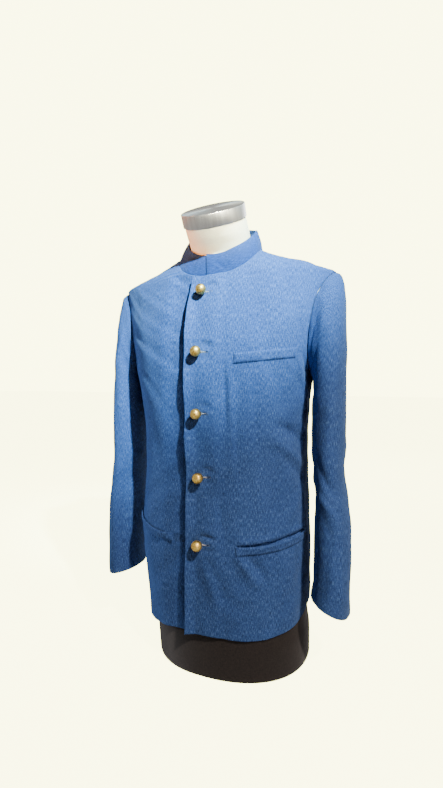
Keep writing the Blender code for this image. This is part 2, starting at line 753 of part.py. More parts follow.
def button_mesh():
    """A ball on a thin shank, turned about Z, with the shank's foot at the origin."""
    centre = OVERLAP_LIFT + BUTTON_RADIUS
    neck = math.asin(SHANK_RADIUS / BUTTON_RADIUS)
    arc = np.linspace(0, math.pi - neck, BUTTON_ARC_STEPS)
    outline = [(BUTTON_RADIUS * math.sin(a), centre + BUTTON_RADIUS * math.cos(a)) for a in arc]
    outline[0] = (0.0, centre + BUTTON_RADIUS)
    outline += [(SHANK_RADIUS, 0.0), (0.0, 0.0)]
    mesh = bpy.data.meshes.new("button")
    edges = [(i, i + 1) for i in range(len(outline) - 1)]
    mesh.from_pydata([(x, 0.0, z) for x, z in outline], edges, [])
    return mesh


def buttons(collection):
    for number, height in enumerate(BUTTON_HEIGHTS, 1):
        name = "button_%d" % number
        made = add_object(name, button_mesh(), BRASS, collection)
        turned = made.modifiers.new("turned", "SCREW")
        turned.steps = BUTTON_SIDES
        turned.render_steps = BUTTON_SIDES
        turned.use_merge_vertices = True
        turned.merge_threshold = 1e-6
        place = angle_at_x(centre_x(height), height)
        normal = Vector(body_normal(place, height))
        made.location = Vector(body_point(place, height)) + normal * SEAM_GAP
        made.rotation_euler = normal.to_track_quat("Z", "Y").to_euler()


def sleeve_size(name, down):
    rows = np.linspace(0, 1, len(SLEEVE))
    return smooth_curve(rows, column(SLEEVE, SLEEVE_COLUMNS, name), down)


def sleeve_point(turn, down, side):
    """Outer face of a sleeve: turn is 0 at its outer side and falls towards the front."""
    turn, down = np.broadcast_arrays(np.asarray(turn, float), np.asarray(down, float))
    c, s = np.cos(turn), np.sin(turn)
    k = (np.abs(c) ** SLEEVE_SQUARE + np.abs(s) ** SLEEVE_SQUARE) ** (-1 / SLEEVE_SQUARE)
    share = 0.5 + 0.5 * c * k
    size = {name: sleeve_size(name, down) for name in SLEEVE_COLUMNS}
    x = size["inner_x"] + (size["outer_x"] - size["inner_x"]) * share
    z = size["inner_z"] + (size["outer_z"] - size["inner_z"]) * share
    y = size["mid_y"] + size["half_y"] * s * k
    hang = dict(zip(HANG_COLUMNS, HANG[side]))
    low = np.clip(down, 0, 1) ** HANG_POWER
    x = x + hang["outer"] * share**2 * eased(*HANG_OUTER_SPAN, down)
    x = x + (hang["cuff_outer"] * share + hang["inner"] * (1 - share)) * low
    y = y + hang["back"] * low
    cuff_rise = hang["inner_rise"] * (1 - share) - hang["front_rise"] * s * k
    z = z + hang["up"] * low + cuff_rise * low**CUFF_RISE_POWER
    fade = eased(-ARMHOLE_FADE, 0, -down)[..., None]
    points = np.stack([x, y, z], -1)
    points = points + (armhole_edge(turn, side) - armhole_ellipse(turn)) * fade
    return settled(points * np.array([side, 1.0, 1.0]))


def armhole_edge(turn, side):
    """The armhole's point on the level body for a turn of the sleeve. That of the
    right side is mirrored."""
    places = armhole_place(np.mod(math.pi + turn, 2 * math.pi))
    angle = places[..., 0] if side > 0 else math.pi - places[..., 0]
    return level_point(angle, places[..., 1]) * np.array([side, 1.0, 1.0])


def armhole_ellipse(turn):
    c, s = np.cos(turn), np.sin(turn)
    k = (np.abs(c) ** SLEEVE_SQUARE + np.abs(s) ** SLEEVE_SQUARE) ** (-1 / SLEEVE_SQUARE)
    share = 0.5 + 0.5 * c * k
    first = dict(zip(SLEEVE_COLUMNS, SLEEVE[0]))
    x = first["inner_x"] + (first["outer_x"] - first["inner_x"]) * share
    z = first["inner_z"] + (first["outer_z"] - first["inner_z"]) * share
    y = first["mid_y"] + first["half_y"] * s * k
    return np.stack([x, y, z], -1)


def sleeve_rows():
    """Rows closer together where the sleeve turns over the shoulder."""
    even = np.linspace(0, 1, SLEEVE_ROWS + 1)
    return even * (SLEEVE_ROW_CROWDING + (1 - SLEEVE_ROW_CROWDING) * even)


def sleeve_turns():
    """Turns of the sleeve's columns, from its inner side round by the front."""
    front = armhole_turns(False) - math.pi
    back = armhole_turns(True)[::-1] - math.pi
    return joined(front[:, None], back[:, None])[:, 0]


def sleeve_normal(turn, down, side):
    turn, down = np.broadcast_arrays(turn, down)
    below = np.maximum(down - STEP, 0)
    round_it = sleeve_point(turn + STEP, down, side) - sleeve_point(turn - STEP, down, side)
    along = sleeve_point(turn, down + STEP, side) - sleeve_point(turn, below, side)
    normals = np.cross(along, round_it) * side
    return normals / np.linalg.norm(normals, axis=-1, keepdims=True)


def sleeve_piece(name, turns, side, collection):
    turn, down = turns[None, :], sleeve_rows()[:, None]
    points = pulled_in(sleeve_point(turn, down, side), SEAM_GAP)
    mesh = wall_mesh(name, points, sleeve_normal(turn, down, side), CLOTH)
    add_object(name, mesh, CHAMBRAY, collection)


def sleeves(collection):
    turns = sleeve_turns()
    front = FRONT_SEAM_CELLS
    back = len(turns) - 1 - BACK_SEAM_CELLS
    under = np.r_[turns[back:-1], turns[: front + 1] + 2 * math.pi]
    for side, word in ((1, "left"), (-1, "right")):
        sleeve_piece("top_sleeve_" + word, turns[front : back + 1], side, collection)
        sleeve_piece("under_sleeve_" + word, under, side, collection)


def level_ring(angle, z, ease):
    """A level ring this far inside the cloth's outer face."""
    height = np.full(len(angle), z)
    normals = body_normal(angle, height)
    normals[:, 2] = 0
    normals /= np.linalg.norm(normals, axis=-1, keepdims=True)
    return body_point(angle, height) - normals * np.reshape(ease, (-1, 1))


def form_ease(z):
    heights = column(EASE, EASE_COLUMNS, "height")
    return smooth_curve(heights, column(EASE, EASE_COLUMNS, "ease"), z)


def yoke_ring(angle, z):
    """A ring over the shoulders, close under the cloth along the shoulder seams."""
    away = np.minimum(1, SHOULDER_EASE_SPREAD * np.abs(np.sin(angle)))
    ease = SHOULDER_EASE + (form_ease(z) - SHOULDER_EASE) * away
    return body_point(angle, z) - body_normal(angle, z) * ease[:, None]


def closed_loft(name, rings, look, collection):
    """A solid through closed rings, with flat ends."""
    points = np.array(rings)
    mesh = ring_mesh(name, points)
    shape = bmesh.new()
    shape.from_mesh(mesh)
    shape.verts.ensure_lookup_table()
    count = points.shape[1]
    last = (len(rings) - 1) * count
    shape.faces.new([shape.verts[i] for i in reversed(range(count))])
    shape.faces.new([shape.verts[last + i] for i in range(count)])
    bmesh.ops.recalc_face_normals(shape, faces=shape.faces)
    shape.to_mesh(mesh)
    shape.free()
    return add_object(name, mesh, look, collection)


def neck_frame(ring):
    """Turns a neck ring's own axes into the model's."""
    lean = Matrix.Rotation(ring["lean"], 4, "X")
    turned = Matrix.Rotation(NECK_SIDE_LEAN, 4, "Y") @ lean
    return Matrix.Translation((ring["x"], ring["y"], ring["z"])) @ turned


def neck_ring(ring, angle):
    frame = neck_frame(ring)
    x, y = ring["half_x"] * np.cos(angle), ring["half_y"] * np.sin(angle)
    return np.array([tuple(frame @ Vector((*place, 0.0))) for place in zip(x, y)])


def form_body(collection):
    angle = np.linspace(0, 2 * math.pi, FORM_ANGLES + 1)[:-1]
    rings = [level_ring(angle, z, form_ease(z)) for z in FORM_ROWS]
    low = FORM_ROWS[-1]
    neckline = neckline_height(angle)
    heights = np.r_[ARM_STUMP_ROW, shoulder_seam()[::-1, 1]]
    for share in (heights - low) / (NECK_SIDE_HEIGHT - low):
        rings.append(yoke_ring(angle, low + (neckline - low) * share))
    for row in NECK_RINGS:
        rings.append(neck_ring(dict(zip(NECK_COLUMNS, row)), angle))
    closed_loft("form_body", rings, LINEN, collection)


def form_base(collection):
    angle = np.linspace(0, 2 * math.pi, FORM_ANGLES + 1)[:-1]
    rings = []
    for row in BASE_ROWS:
        size = dict(zip(BASE_COLUMNS, row))
        left, right = size["left"], size["right"]
        ease = (left + right) / 2 + (left - right) / 2 * np.cos(angle)
        rings.append(level_ring(angle, size["height"], ease))
    base = closed_loft("form_base", rings, BLACK_CLOTH, collection)
    rounded = base.modifiers.new("rounded_foot", "BEVEL")
    rounded.width = BASE_ROUND
    rounded.segments = ROUND_SEGMENTS
    rounded.limit_method = "ANGLE"
    rounded.angle_limit = BASE_ROUND_FROM


def form_neck_cap(collection):
    mesh = bpy.data.meshes.new("form_neck_cap")
    shape = bmesh.new()
    bmesh.ops.create_cone(
        shape,
        cap_ends=True,
        segments=CAP_SIDES,
        radius1=CAP_RADIUS,
        radius2=CAP_RADIUS,
        depth=CAP_HEIGHT,
    )
    shape.to_mesh(mesh)
    shape.free()
    cap = add_object("form_neck_cap", mesh, STEEL, collection)
    up = SEAM_GAP + CAP_HEIGHT / 2
    last = dict(zip(NECK_COLUMNS, NECK_RINGS[-1]))
    cap.matrix_world = neck_frame(last) @ Matrix.Translation((0, 0, up))
    rounded = cap.modifiers.new("rounded_rim", "BEVEL")
    rounded.width = CAP_ROUND
    rounded.segments = ROUND_SEGMENTS
    rounded.limit_method = "ANGLE"


def build():
    for old in list(bpy.data.objects):
        bpy.data.objects.remove(old)
    collection = bpy.data.collections.new("mao_jacket_on_dress_form")
    cutters = bpy.data.collections.new("cutters")
    bpy.context.scene.collection.children.link(collection)
    bpy.context.scene.collection.children.link(cutters)
    fronts(collection, cutters)
    backs(collection)
    collar(collection)
    welts(collection)
    sleeves(collection)
    buttons(collection)
    form_body(collection)
    form_base(collection)
    form_neck_cap(collection)
    for made in list(collection.objects) + list(cutters.objects):
        made.location.x += CENTRE_SHIFT


build()
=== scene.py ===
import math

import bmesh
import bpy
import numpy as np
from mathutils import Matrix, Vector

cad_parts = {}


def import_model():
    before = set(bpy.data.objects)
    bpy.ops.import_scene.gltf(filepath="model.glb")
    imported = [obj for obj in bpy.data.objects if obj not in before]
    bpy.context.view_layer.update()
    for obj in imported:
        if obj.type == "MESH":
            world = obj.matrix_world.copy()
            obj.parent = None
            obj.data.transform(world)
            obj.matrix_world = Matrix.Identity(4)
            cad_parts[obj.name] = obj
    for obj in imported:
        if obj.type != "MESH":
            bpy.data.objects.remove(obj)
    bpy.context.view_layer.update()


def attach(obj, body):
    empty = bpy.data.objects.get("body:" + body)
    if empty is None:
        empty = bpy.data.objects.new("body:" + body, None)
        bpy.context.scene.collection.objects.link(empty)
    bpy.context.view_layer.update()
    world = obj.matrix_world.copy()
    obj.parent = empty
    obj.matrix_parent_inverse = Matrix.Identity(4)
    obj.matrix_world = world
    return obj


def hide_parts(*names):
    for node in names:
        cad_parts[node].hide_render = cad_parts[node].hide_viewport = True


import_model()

# Looks of a blue chambray mao jacket on a limbless tailor's form.
#
# Every cloth piece is a thin shell on the same surfaces as its solid: an angle
# round the body and a height, or a turn round a sleeve and a share of its length.
# Folds are rows of tables in sizes of their own: a soft ridge or trough between
# two places. Metres, +Z up, the front faces -Y, the wearer's left is +X.

# Sizes and tables of the solids
CLOTH = 0.0016
COLLAR_CLOTH = 0.0022
SEAM_GAP = 0.0003
CENTRE_SHIFT = -0.0085

BODY_COLUMNS = ("height", "left", "right", "front", "back", "side", "square")
BODY = (
    (0.000, 0.1835, 0.1350, -0.1215, 0.130, 0.025, 2.30),
    (0.060, 0.1840, 0.1425, -0.1218, 0.132, 0.025, 2.30),
    (0.110, 0.1845, 0.1500, -0.1220, 0.134, 0.025, 2.30),
    (0.160, 0.1848, 0.1580, -0.1222, 0.136, 0.025, 2.30),
    (0.210, 0.1848, 0.1660, -0.1222, 0.137, 0.025, 2.30),
    (0.260, 0.1837, 0.1700, -0.1212, 0.134, 0.025, 2.30),
    (0.310, 0.1816, 0.1660, -0.1175, 0.127, 0.025, 2.30),
    (0.360, 0.1790, 0.1635, -0.1150, 0.121, 0.025, 2.30),
    (0.410, 0.1770, 0.1625, -0.1165, 0.119, 0.025, 2.30),
    (0.460, 0.1775, 0.1655, -0.1190, 0.123, 0.025, 2.30),
    (0.510, 0.1805, 0.1745, -0.1196, 0.131, 0.025, 2.30),
    (0.560, 0.1870, 0.1870, -0.1188, 0.137, 0.025, 2.28),
    (0.610, 0.1980, 0.1980, -0.1150, 0.139, 0.024, 2.24),
    (0.660, 0.2100, 0.2100, -0.1050, 0.135, 0.022, 2.18),
    (0.710, 0.2210, 0.2210, -0.0890, 0.123, 0.020, 2.10),
    (0.735, 0.2265, 0.2265, -0.0795, 0.114, 0.0195, 2.05),
    (0.7554, 0.2300, 0.2300, -0.0700, 0.104, 0.0195, 2.00),
    (0.7640, 0.2120, 0.2120, -0.0650, 0.100, 0.0185, 2.00),
    (0.7740, 0.1860, 0.1860, -0.0580, 0.095, 0.0170, 2.00),
    (0.7840, 0.1560, 0.1560, -0.0520, 0.090, 0.0150, 2.00),
    (0.7950, 0.1230, 0.1230, -0.0450, 0.085, 0.0120, 2.00),
    (0.8127, 0.0846, 0.0846, -0.0320, 0.080, 0.0070, 2.00),
    (0.8280, 0.0720, 0.0720, -0.0220, 0.0755, 0.0070, 2.00),
    (0.8500, 0.0600, 0.0600, -0.0120, 0.0680, 0.0070, 2.00),
)
SHOULDER_DROP = {1: -0.0030, -1: 0.0080}
DROP_ACROSS = (0.070, 0.150)
DROP_UP = (0.560, 0.700)
HEM_COLUMNS = ("angle", "height")
HEM = (
    (-180, 0.066),
    (-150, 0.067),
    (-120, 0.077),
    (-90, 0.083),
    (-60, 0.079),
    (-32, 0.087),
    (-12, 0.103),
    (0, 0.110),
    (40, 0.106),
    (90, 0.090),
    (140, 0.070),
    (180, 0.066),
)
NECK_HALF_WIDTH = 0.0846
NECK_FRONT_HEIGHT = 0.7500
NECK_SIDE_HEIGHT = 0.8127
NECK_BACK_HEIGHT = 0.8380
NECK_SCOOP = 1.1
SHOULDER_TIP_HEIGHT = 0.7554
ARMHOLE_BOTTOM = 0.560
ARMHOLE_Y = 0.020
ARMHOLE_HALF_WIDTH = 0.058
ARMHOLE_SQUARE = 2.15
ARMHOLE_SCOOP = 0.10
OVERLAP = 0.0247
UNDERLAP = 0.0200
OVERLAP_TOP_DROP = 0.0055
OVERLAP_LIFT = CLOTH + 0.0010
LIFT_STARTS = 0.048
LIFT_ENDS = 0.026
FRONT_ROW_HEIGHTS = (0.5450, 0.7240)
BACK_ROW_HEIGHTS = (0.5600, 0.7700)
RISE_CROWDING = 1.35
CENTRE_COLUMNS = ("height", "x")
CENTRE_LINE = (
    (0.0800, 0.0100),
    (0.2487, 0.0080),
    (0.3701, 0.0058),
    (0.4866, 0.0027),
    (0.5989, -0.0006),
    (0.7137, -0.0040),
    (0.7500, -0.0050),
)
BUTTON_HEIGHTS = (0.7137, 0.5989, 0.4866, 0.3701, 0.2487)
BUTTON_RADIUS = 0.0100
SHANK_RADIUS = 0.0012
BUTTONHOLE_LENGTH = 0.0215
BUTTONHOLE_START = -0.0015
COLLAR_FRONT = (-0.0500, 0.7960)
COLLAR_SIDE = (0.0725, 0.8545)
COLLAR_BACK = (0.0600, 0.8870)
COLLAR_RISE = {1: 0.82, -1: 1.15}
COLLAR_BACK_RISE = 0.60
COLLAR_BULGE = 0.0012
COLLAR_LEFT_END = -0.0015
COLLAR_RIGHT_END = 0.0100
COLLAR_SLANT = 0.168
COLLAR_SLANT_FADES = 0.35
COLLAR_LIFT = COLLAR_CLOTH + 0.0010
COLLAR_LIFT_FADES = 0.0300
WELT_COLUMNS = ("name", "side", "near_x", "near_z", "far_x", "far_z", "height", "sag")
WELTS = (
    ("chest_welt", 1, 0.0670, 0.5870, 0.1678, 0.5998, 0.0185, 0.0000),
    ("pocket_welt_left", 1, 0.0750, 0.2412, 0.1808, 0.2588, 0.0155, 0.0020),
    ("pocket_welt_right", -1, 0.0480, 0.2530, 0.1550, 0.2750, 0.0140, 0.0075),
)
SLEEVE_COLUMNS = ("outer_x", "outer_z", "inner_x", "inner_z", "mid_y", "half_y")
SLEEVE = (
    (0.2300, 0.7554, 0.1885, 0.5600, 0.020, 0.0580),
    (0.2375, 0.7515, 0.1902, 0.5565, 0.019, 0.0600),
    (0.2432, 0.7415, 0.1910, 0.5515, 0.017, 0.0620),
    (0.2470, 0.7200, 0.1912, 0.5445, 0.014, 0.0635),
    (0.2490, 0.6850, 0.1908, 0.5345, 0.011, 0.0645),
    (0.2502, 0.6300, 0.1900, 0.5200, 0.008, 0.0650),
    (0.2510, 0.5700, 0.1893, 0.4950, 0.005, 0.0645),
    (0.2515, 0.5000, 0.1894, 0.4550, 0.002, 0.0635),
    (0.2515, 0.4300, 0.1903, 0.4100, 0.000, 0.0625),
    (0.2500, 0.3700, 0.1938, 0.3620, -0.002, 0.0610),
    (0.2560, 0.3260, 0.1965, 0.3250, -0.004, 0.0610),
    (0.2615, 0.2800, 0.1955, 0.2850, -0.008, 0.0605),
    (0.2630, 0.2100, 0.1958, 0.2180, -0.012, 0.0600),
    (0.2622, 0.1550, 0.1945, 0.1650, -0.016, 0.0590),
    (0.2610, 0.1180, 0.1905, 0.1290, -0.018, 0.0580),
)
SLEEVE_SQUARE = 2.05
ARMHOLE_FADE = 0.42
HANG_COLUMNS = ("outer", "cuff_outer", "inner", "back", "up", "inner_rise", "front_rise")
HANG = {
    1: (0.0, 0.0055, 0.0055, 0.0, -0.003, 0.020, 0.009),
    -1: (-0.0085, -0.0060, -0.003, 0.016, 0.008, 0.0, 0.0),
}
HANG_OUTER_SPAN = (0.05, 0.35)
HANG_POWER = 1.5
# Cells of the solid's armhole in front and behind, and the one where a sleeve seam starts
SLEEVE_SEAM_CELLS = {"front": (10, 2), "back": (8, 3)}
EASE = (
    (0.00, 0.0100),
    (0.17, 0.0100),
    (0.28, 0.0090),
    (0.41, 0.0120),
    (0.52, 0.0110),
    (0.62, 0.0090),
    (0.70, 0.0080),
    (0.83, 0.0080),
)
SHOULDER_EASE = CLOTH + 0.0004
SHOULDER_EASE_SPREAD = 4.0
FORM_BODY_BOTTOM = 0.1703
FORM_YOKE_FROM = 0.690
FORM_YOKE_SECOND = 0.725
BASE_ROWS = (
    (0.000, -0.0020, 0.0140),
    (0.055, -0.0010, 0.0140),
    (0.095, 0.0045, 0.0130),
    (0.170, 0.0050, 0.0110),
)
BASE_ROUND = 0.004
BASE_EDGE_HEIGHTS = (0.0, 0.0008, 0.0022, BASE_ROUND)
BASE_SIDE_HEIGHTS = (0.012, 0.170, 24)
NECK_SIDE_LEAN = math.radians(-0.5)
NECK_RINGS = (
    (-0.0010, 0.0100, 0.7950, math.radians(6), 0.0590, 0.0560),
    (-0.0020, 0.0104, 0.8100, math.radians(10), 0.0615, 0.0575),
    (-0.0030, 0.0014, 0.8315, math.radians(20), 0.0632, 0.0600),
    (-0.0026, -0.0178, 0.8511, math.radians(28), 0.0627, 0.0616),
    (-0.0021, -0.0346, 0.8662, math.radians(32), 0.0615, 0.0615),
)
STEP = 1e-4
FINE = 400

# Folds in millimetres: from one place to another across the body from its centre
# line (the wearer's left is plus) and up, how wide, how far out (minus is a
# trough), and how far the middle bows to the left of the run
FRONT_FOLDS = (
    (49, 585, 54, 455, 4, -2.6, 1),
    (59, 570, 66, 400, 7, 2, 2),
    (72, 560, 78, 350, 6, -1.1, -2),
    (90, 570, 96, 430, 8.5, 1.1, 1),
    (104, 555, 112, 400, 7, -1, 0),
    (120, 590, 170, 500, 10, -1.4, 6),
    (150, 600, 205, 560, 8, 1.6, -3),
    (188, 612, 250, 515, 8.5, 4, -6),
    (208, 606, 262, 545, 6, -4.5, -3),
    (205, 530, 262, 480, 12, 3, 4),
    (140, 470, 236, 430, 10, -6.6, 3),
    (128, 446, 240, 380, 11, 5.2, 3),
    (160, 408, 250, 345, 10, -2.6, 2),
    (205, 480, 262, 440, 8, 2.6, 0),
    (6, 232, 42, 135, 10, 1.8, 3),
    (26, 225, 55, 150, 8, -1.6, 2),
    (68, 242, 118, 172, 9.5, 4.2, 3),
    (92, 236, 140, 176, 8, -3.2, 2),
    (45, 170, 95, 125, 12, -2, 0),
    (165, 235, 205, 150, 11, 1.6, 3),
    (205, 240, 232, 130, 10, -1.6, 0),
    (40, 350, 48, 265, 7, -1, 1),
    (110, 380, 118, 280, 9, 1, 0),
    (190, 690, 215, 610, 9, -2, -4),
    (165, 700, 188, 620, 10, 1.4, -3),
    (95, 775, 185, 748, 10, -0.8, -2),
    (-88, 700, -86, 300, 20, 3.6, 4),
    (-140, 690, -128, 440, 12, -3.4, -4),
    (-178, 640, -160, 520, 9, 2.2, 0),
    (-205, 620, -230, 540, 8, -3, 2),
    (-120, 430, -215, 400, 10, -2.6, 3),
    (-112, 405, -225, 355, 11, 2.6, 2),
    (-60, 300, -75, 150, 12, -1.4, 2),
    (-105, 235, -130, 120, 11, 1.6, -3),
    (-165, 240, -190, 130, 11, -1.8, 0),
    (-112, 730, -165, 650, 10, 1.4, 3),
)
# The same on the back, from the centre back
BACK_FOLDS = (
    (20, 560, 30, 400, 9, -2.2, 2),
    (52, 590, 70, 430, 10, 2.4, 3),
    (90, 620, 120, 480, 9, -2.4, 4),
    (130, 600, 205, 520, 10, 3, -4),
    (160, 560, 225, 490, 8, -3, -3),
    (70, 470, 215, 430, 11, -3.2, 4),
    (60, 440, 225, 385, 12, 3.4, 4),
    (110, 400, 230, 340, 10, -2.2, 2),
    (50, 300, 70, 120, 13, 2.2, 3),
    (120, 290, 150, 130, 12, -2.4, 2),
    (180, 280, 205, 140, 12, 2.2, 2),
    (150, 710, 175, 600, 10, -2, 4),
    (40, 770, 130, 735, 11, -1, 2),
    (-26, 550, -32, 390, 8.5, 2.2, 2),
    (-60, 580, -82, 440, 10, -2.4, 3),
    (-105, 630, -150, 490, 10, 2.6, 4),
    (-140, 585, -210, 510, 9, -3, -3),
    (-80, 455, -210, 420, 11, -3, 4),
    (-75, 425, -215, 370, 11, 3.2, 3),
    (-130, 385, -210, 330, 10, -2, 2),
    (-40, 290, -52, 110, 13, -2, 3),
    (-95, 300, -118, 130, 13, 2.4, 2),
    (-155, 270, -175, 120, 11, -2.2, 2),
    (-145, 705, -172, 610, 10, 1.8, 4),
    (-50, 765, -125, 738, 11, -1.2, 2),
)
# On each sleeve, the left one first: its places are turns in degrees and shares of
# the length, its sizes millimetres
SLEEVE_FOLDS = {
    1: (
        (-128, 0.575, -40, 0.7, 10, -3.6, 4),
        (-136, 0.655, -46, 0.77, 9.5, 3.2, 4),
        (-120, 0.735, -60, 0.83, 9, -1.8, 3),
        (10, 0.56, 90, 0.64, 9, 2.6, -3),
        (0, 0.61, 110, 0.65, 8.5, -3.4, -2),
        (20, 0.67, 120, 0.7, 9, 2.8, 2),
        (150, 0.56, 215, 0.61, 8, -3, 2),
        (145, 0.61, 220, 0.655, 8, 2.6, 2),
        (150, 0.665, 214, 0.7, 8, -2.4, 0),
        (-105, 0.13, -60, 0.33, 8, -1.6, 4),
        (-86, 0.15, -52, 0.4, 10, 1.6, 4),
        (-76, 0.42, -84, 0.56, 10, 1, 0),
        (-52, 0.1, -40, 0.17, 3, -1.2, 0),
        (-60, 0.125, -52, 0.185, 2.6, -1.2, 1),
        (-66, 0.11, -60, 0.16, 2.6, 0.8, 0),
        (-44, 0.075, -36, 0.12, 2.6, -0.8, 0),
        (-50, 0.8, -56, 0.985, 5, 1.2, 0),
        (-95, 0.81, -102, 0.96, 8, -1, 0),
        (60, 0.15, 82, 0.42, 11, -1.8, 3),
        (100, 0.12, 118, 0.36, 10, 1.8, 3),
        (60, 0.78, 70, 0.96, 10, 1.4, 0),
    ),
    -1: (
        (-72, 0.05, -84, 0.33, 5.5, 2.6, 2),
        (-100, 0.045, -112, 0.34, 7.5, -4.2, 2),
        (-60, 0.42, -88, 0.6, 10, 1.6, 2),
        (-140, 0.56, -60, 0.66, 10, -2.6, 3),
        (-140, 0.63, -66, 0.72, 9.5, 2.4, 3),
        (-84, 0.7, -96, 0.96, 8, 1.8, 2),
        (-112, 0.74, -122, 0.95, 8, -1.8, 0),
        (5, 0.57, 95, 0.625, 9, -3.2, -2),
        (10, 0.63, 110, 0.675, 9, 3, 2),
        (30, 0.69, 120, 0.72, 9, -2, 2),
        (150, 0.57, 214, 0.615, 8, 2.8, 2),
        (150, 0.62, 214, 0.66, 8, -2.8, 2),
        (55, 0.13, 80, 0.4, 11, 1.8, 3),
        (95, 0.14, 116, 0.38, 10, -2, 3),
        (60, 0.76, 74, 0.94, 10, -1.4, 0),
    ),
}
# On the collar: places round the neckline from the centre front, and up the band
COLLAR_FOLDS = (
    (4, 30, 28, 2, 2, 1.1, 0),
    (12, 31, 40, 4, 4, -1.3, 0),
    (30, 33, 62, 6, 6, 0.8, 0),
    (85, 30, 95, 4, 6, -0.6, 0),
    (140, 32, 160, 6, 8, 0.8, 0),
    (230, 40, 240, 8, 8, -0.8, 0),
    (400, 34, 420, 6, 8, 0.8, 0),
    (480, 30, 500, 4, 6, -1, 0),
)
# A long seam down each front from under the chest to the hem: across and up
DART = ((0.144, 0.095), (0.147, 0.250), (0.141, 0.420), (0.136, 0.580))
# Slow unevenness of hung cloth: waves per metre across and up, phase, height
WAVES = (
    (9.0, 4.0, 0.4, 0.00060),
    (-7.0, 11.0, 1.7, 0.00045),
    (17.0, 5.0, 2.9, 0.00032),
    (13.0, -16.0, 4.1, 0.00026),
    (27.0, 9.0, 5.3, 0.00016),
    (-22.0, 24.0, 0.9, 0.00014),
)
# The panels' grids: cells past the centre, along the neck, armhole and shoulder, and
# up the side; the hem's width, which its cells past the centre are a share of
EXTENSION_CELLS = 10
NECK_CELLS = 84
ARMHOLE_CELLS = 56
SHOULDER_CELLS = 26
SIDE_CELLS = 104
HEM_WIDTH = 0.30
# Shares of the side seam between which the rows lie closer, at the lower pockets
POCKET_ROWS = (0.28, 0.40, 46)
# Where the first cell at an edge is cut again, so that the edge can be rounded
EDGE_CUTS = (0.06, 0.14, 0.26, 0.42, 0.66)
COLLAR_CELLS = (300, 18)
WELT_CELLS = (90, 10)
TOP_SLEEVE_CELLS = 120
UNDER_SLEEVE_CELLS = 52
SLEEVE_CELLS = 170
# Seams sink in and free edges are rounded: how deep and how wide
SEAM_GROOVE = (0.0006, 0.0016)
EDGE_ROUND = (0.0006, 0.0008)
EDGE_PULL = 0.00012
# Over which distance from a seam the folds of a panel, sleeve or collar come in
SEAM_FADE = 0.016
SLEEVE_SEAM_FADE = 0.012
COLLAR_SEAM_FADE = 0.006
COLLAR_TURN_FADE = 0.004
COLLAR_WAVES = 0.5
# The left front's free edge: how far it lifts off, at most, between buttons and
# beside one, where across the body the lift starts, and how it eases off at the top
EDGE_LIFT = 0.0085
EDGE_LIFT_AT_BUTTON = 0.0055
EDGE_LIFT_FROM = -0.006
EDGE_LIFT_POWER = 1.4
BESIDE_BUTTON = (0.008, 0.045)
TOP_HELD = 0.55
TOP_HELD_UP = (0.700, 0.750)
# The cloth lies flat this near to a button
BUTTON_FLAT = (0.006, 0.016)
# The right front sinks in under that edge
UNDER_SINK = 0.0048
UNDER_SINK_ACROSS = (-0.085, -0.052)
UNDER_SINK_FADE = 0.03
# Creases beside each button: place from the button, sizes, and whether they vary
PULLS = (
    (0.001, 0.0135, 0.032, 0.0080, 0.0040, -0.0019, 0.003, True),
    (0.003, 0.0230, 0.034, 0.0170, 0.0050, 0.0011, 0.003, True),
    (0.004, -0.0105, 0.030, -0.0060, 0.0036, -0.0012, -0.002, True),
    (-0.020, 0.0060, -0.002, 0.0030, 0.0034, -0.0008, 0.000, False),
)
PULLS_VARY, PULLS_VARY_RATE = 0.25, 2.1
# Pocket mouths: how high and how deep the hollow over the welt, its lower edge, the
# share of its height where it starts to close, its ends, how high it is there and
# how far its highest place lies to one end, and the lip over it
MOUTH_HEIGHT = 0.0066
MOUTH_DEPTH = 0.0058
MOUTH_EDGE = (-0.0070, -0.0020)
MOUTH_CLOSES = 0.55
MOUTH_ENDS = (0.06, 0.96)
MOUTH_END_HEIGHT = 0.35
MOUTH_LEAN = 1.5
MOUTH_LIP = (0.0016, 0.005, 0.0045)
# How far a welt stands out, and a lower pocket's one at its upper edge
WELT_PUFF = 0.0012
WELT_RAISE = 0.0024
WELT_RAISE_ENDS = (0.12, 0.88)
WELT_ROUND = 0.004
# The dart's ridge and the hollow round it: height and width; its ends up the body
DART_RIDGE = (0.0007, 0.0016)
DART_HOLLOW = (0.0006, 0.009)
DART_ENDS = (0.080, 0.095, 0.570, 0.582)
DART_WIDENS = (0.585, 0.575)
# Metres of sleeve to one radian of turn and to its whole length
SLEEVE_ROUND = 0.050
SLEEVE_LENGTH = 0.63
# Gathers at the sleeve's head: height, wave length and how far down they reach
HEAD_RIPPLE = (0.0007, 0.017, 0.016)
HEAD_RIPPLE_TURNS = (-2.0, -1.2)
HEAD_RIPPLE_FROM = 0.004
HEAD_SWING_RATE, HEAD_SWING_PHASE = 3.0, 0.8
# How much closer the rows of a sleeve lie at its head
HEAD_CROWDING = 0.55
FORM_SIDES = 160
FORM_LEVEL_TOP = 0.68
FORM_LEVEL_ROWS, FORM_YOKE_ROWS, FORM_NECK_ROWS = 42, 41, 33
